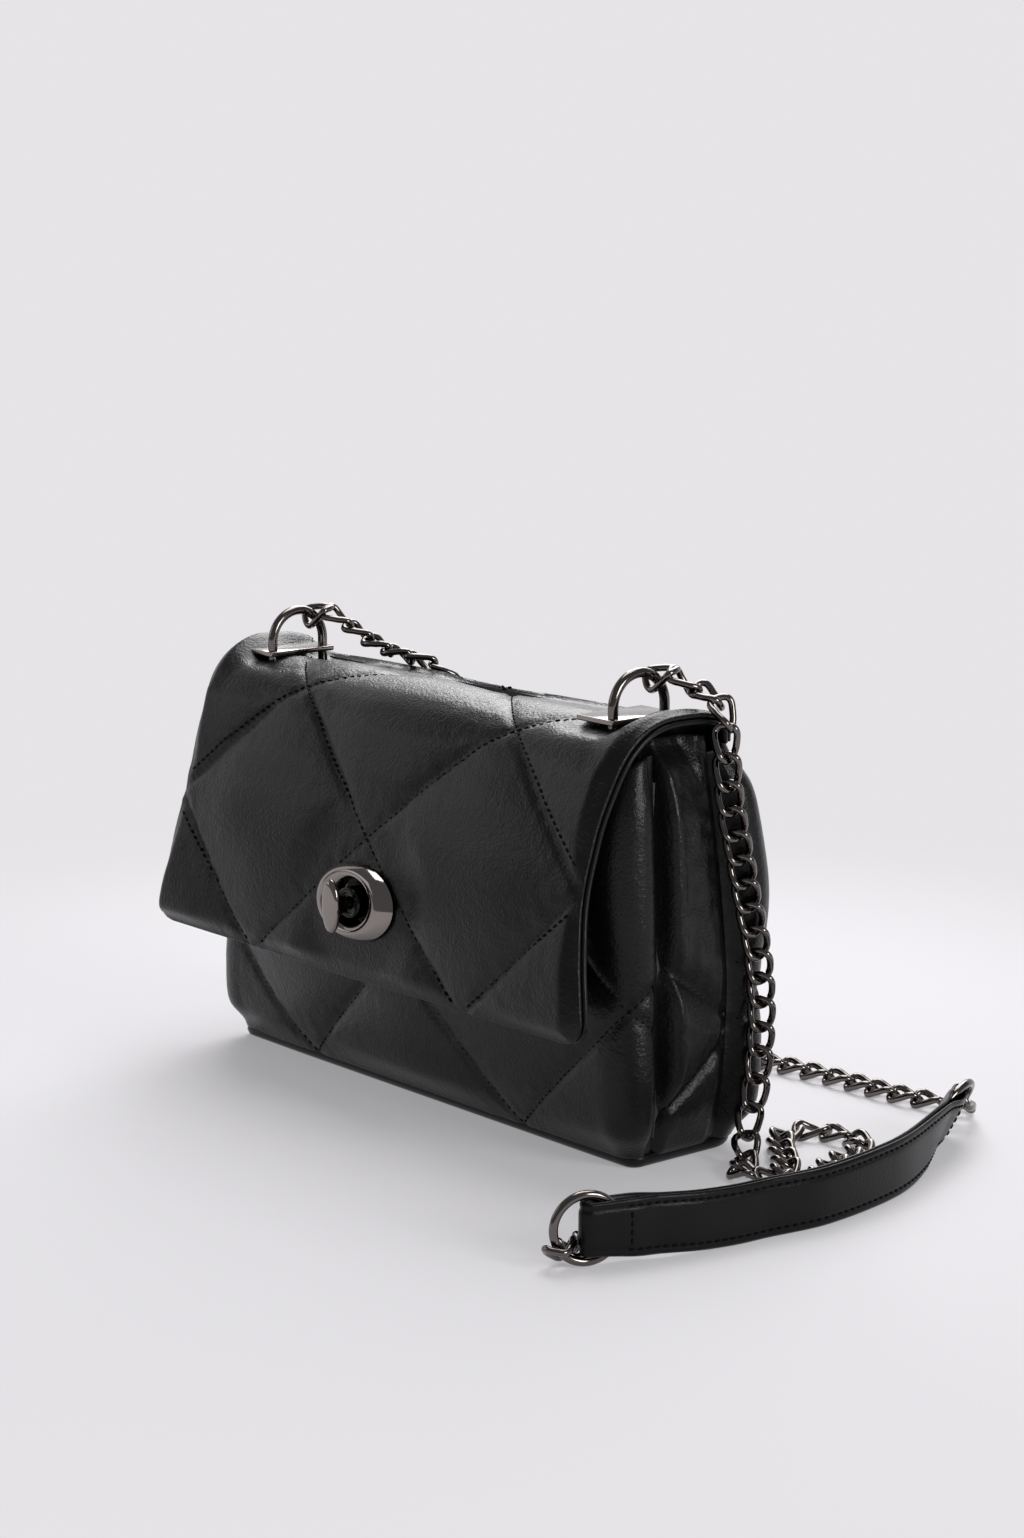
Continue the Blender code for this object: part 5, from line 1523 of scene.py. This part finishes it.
def stapleThread(x, secondWay):
    half = staple["span"] / 2
    base = staple["level"] + staple["plateThick"] + staple["leg"]
    arch = staple["rise"] - staple["leg"]
    wide, high = half * math.cos(hang["stapleTurn"]), arch * math.sin(hang["stapleTurn"])
    onRing = Vector((x, staple["frontY"] + half + wide, base + high))
    tangent = Vector((0, high / arch * half, -wide / half * staple["rise"]))
    way, secondWay = Vector(hang["linkWay"]).normalized(), Vector(secondWay).normalized()
    halfLength = (link["length"] - link["wire"]) / 2
    first = onRing + way * (halfLength - (staple["wire"] + link["wire"]) / 2 - link["play"])
    second = first + way * (halfLength - link["wire"] * (1 - hang["weld"])) + secondWay * halfLength
    return (first, tangent.normalized(), way), (second, Vector((0, 0, 1)), secondWay)


def ringThread(end, turn, way):
    run = 0 if end < 0 else padLength
    centre, along, out, up = padFrame(run)
    outward = math.cos(turn) * along * end - math.sin(turn) * up
    tangent = math.sin(turn) * along * end + math.cos(turn) * up
    onRing = centre + along * end * pad["ringReach"] + pad["ringRadius"] * outward
    way = Vector(way).normalized()
    halfLength = (link["length"] - link["wire"]) / 2
    last = onRing - way * (halfLength - (pad["ringWire"] + link["wire"]) / 2 - 2 * link["play"])
    before = last - way * (2 * halfLength - link["wire"] * (1 - hang["weld"]))
    before.z = max(before.z, link["twist"] + link["wire"])
    return (before, Vector((0, 0, 1))), (last, tangent)


linkSizes = {"loose": {"width": 0.0108}, "joined": {"length": 0.0154, "width": 0.0110}}


def chainPieces(start, route, stretches):
    halfLength = (link["length"] - link["wire"]) / 2
    loose = 2 * halfLength - link["wire"] - link["play"]
    tight = 2 * halfLength - link["wire"] * (1 - hang["weld"])
    plan = [stretch for stretch in stretches for _ in range(stretch[1])]
    pitches = [tight if a is b and a[3] == "joined" else loose for a, b in zip(plan, plan[1:])]
    places = linkPlaces(((start[1][0], start[1][1]), *route), pitches[1:], stretches[-1][1] - 1)
    places = [start[0][:2], *places]
    first = 0
    for name, count, replaced, kind, bends in stretches:
        marks = []
        for k in range(first, min(first + count, len(places))):
            before, after = places[max(k - 1, 0)][0], places[min(k + 1, len(places) - 1)][0]
            if k < 2:
                before, after = places[k][0], places[k][0] + start[k][2]
            along = (after - before).normalized()
            across = places[k][1].cross(along).normalized()
            marks.append((places[k][0], along, along.cross(across).normalized()))
        first += count
        piece = grow(name, marks, linkTree, linkSizes[kind])
        if bends:
            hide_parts(*replaced)
            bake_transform(piece)
        else:
            settle(piece, "bag", "gunmetal", *replaced)


chainPieces(
    stapleThread(staple["x"], hang["rightSecond"]),
    (*rightRoute, *ringThread(-1, hang["frontTurn"], hang["rightLast"])),
    (
        ("chainTopRight", 6, ["chain_top_right"], "joined", True),
        ("chainHanging", 11, [f"chain_link_{k:02d}" for k in range(1, 12)], "loose", False),
        ("chainPile", 18, ["chain_pile"], "joined", False),
        ("chainToPad", 14, ["chain_to_pad"], "joined", False),
    ),
)
chainPieces(
    stapleThread(-staple["x"], hang["leftSecond"]),
    (*leftRoute, *ringThread(1, hang["rearTurn"], hang["leftLast"])),
    (
        ("chainTopLeft", 9, ["chain_top_left"], "joined", True),
        ("chainBack", 8, ["chain_back"], "joined", False),
        ("chainFloor", 24, ["chain_floor"], "joined", False),
    ),
)
print("chain made")


# Studio: pale floor and backdrop, soft lamps
studio = {
    "paper": (0.70, 0.687, 0.709), "shown": (0.790, 0.775, 0.800), "rough": 0.9, "shine": 0.1,
    "nearFill": 0.36, "near": 0.16, "far": 0.52, "sky": (0.95, 0.96, 1.0), "world": 0.21,
    "reach": 5.0, "aim": (0.05, 0, 0.08),
    "lamps": (
        ("above", (-0.30, 0.40, 1.40), 1.0, 16.0), ("behind", (-0.8, 0.9, 1.0), 0.9, 15.0),
        ("left", (-1.1, -1.1, 0.7), 0.8, 2.2), ("right", (1.3, 0.10, 0.50), 0.45, 8.0),
    ),
}
# Way behind the bag and height of each bend of the floor and backdrop
sweep = (
    (-5.0, 0.0), (1.2, 0.0), (1.7, 0.04), (2.1, 0.18), (2.35, 0.45), (2.45, 0.9), (2.5, 3.0),
)


def mixShaders(tree, share, first, second, end):
    mix = tree.nodes.new("ShaderNodeMixShader")
    for socket, place in ((share, 0), (first, 1), (second, 2)):
        tree.links.new(socket, mix.inputs[place])
    tree.links.new(mix.outputs[0], tree.nodes[end].inputs["Surface"])


def paperFinish():
    # The paper shows its own pale tone to the camera and in reflections, and keeps the shadow
    made = Finish("paper")
    made.give(
        Base_Color=(*studio["paper"], 1), Roughness=studio["rough"], Specular_IOR_Level=studio["shine"],
    )
    glow = made.tree.nodes.new("ShaderNodeEmission")
    glow.inputs["Color"].default_value = (*studio["shown"], 1)
    rays = made.tree.nodes.new("ShaderNodeLightPath")
    seen = made.node(
        "ShaderNodeMath", {"operation": "MAXIMUM"},
        {
            0: Value(made.tree, rays.outputs["Is Camera Ray"]),
            1: Value(made.tree, rays.outputs["Is Glossy Ray"]),
        },
    )
    at = made.place()
    away = made.node("ShaderNodeVectorMath", {"operation": "LENGTH"}, {0: at}, 1)
    spread = made.node(
        "ShaderNodeMapRange", {"interpolation_type": "SMOOTHSTEP"},
        {
            "Value": away, "From Min": studio["near"], "From Max": studio["far"],
            "To Min": studio["nearFill"], "To Max": 1.0,
        },
    )
    share = seen * spread
    mixShaders(made.tree, share.socket, made.shader.outputs[0], glow.outputs[0], "Material Output")
    return made.material


def studioFloor():
    points, faces = [], []
    turn = math.radians(90 - view["yaw"])
    for away, height in sweep:
        for side in (-studio["reach"], studio["reach"]):
            points.append(Vector((
                -math.sin(turn) * away - math.cos(turn) * side,
                math.cos(turn) * away - math.sin(turn) * side, height,
            )))
    for k in range(len(sweep) - 1):
        faces.append((2 * k, 2 * k + 1, 2 * k + 3, 2 * k + 2))
    meshObject("floor", points, faces, paperFinish(), angle=60)


def studioWorld():
    world = bpy.data.worlds.new("studio")
    world.use_nodes = True
    tree = world.node_tree
    light = tree.nodes["Background"]
    light.inputs["Color"].default_value = (*studio["sky"], 1)
    light.inputs["Strength"].default_value = studio["world"]
    shown = tree.nodes.new("ShaderNodeBackground")
    shown.inputs["Color"].default_value = (*studio["shown"], 1)
    rays = tree.nodes.new("ShaderNodeLightPath")
    seen = rays.outputs["Is Camera Ray"]
    mixShaders(tree, seen, light.outputs[0], shown.outputs[0], "World Output")
    bpy.context.scene.world = world


def studioLamp(name, place, size, power):
    lamp = bpy.data.lights.new(name, "AREA")
    lamp.shape = "RECTANGLE"
    lamp.size = size
    lamp.size_y = size
    lamp.energy = power
    holder = linked(name, lamp)
    holder.location = place
    aim = Vector(studio["aim"]) - Vector(place)
    holder.rotation_euler = aim.to_track_quat("-Z", "Y").to_euler()


studioFloor()
studioWorld()
for lampRow in studio["lamps"]:
    studioLamp(*lampRow)
print("studio made")
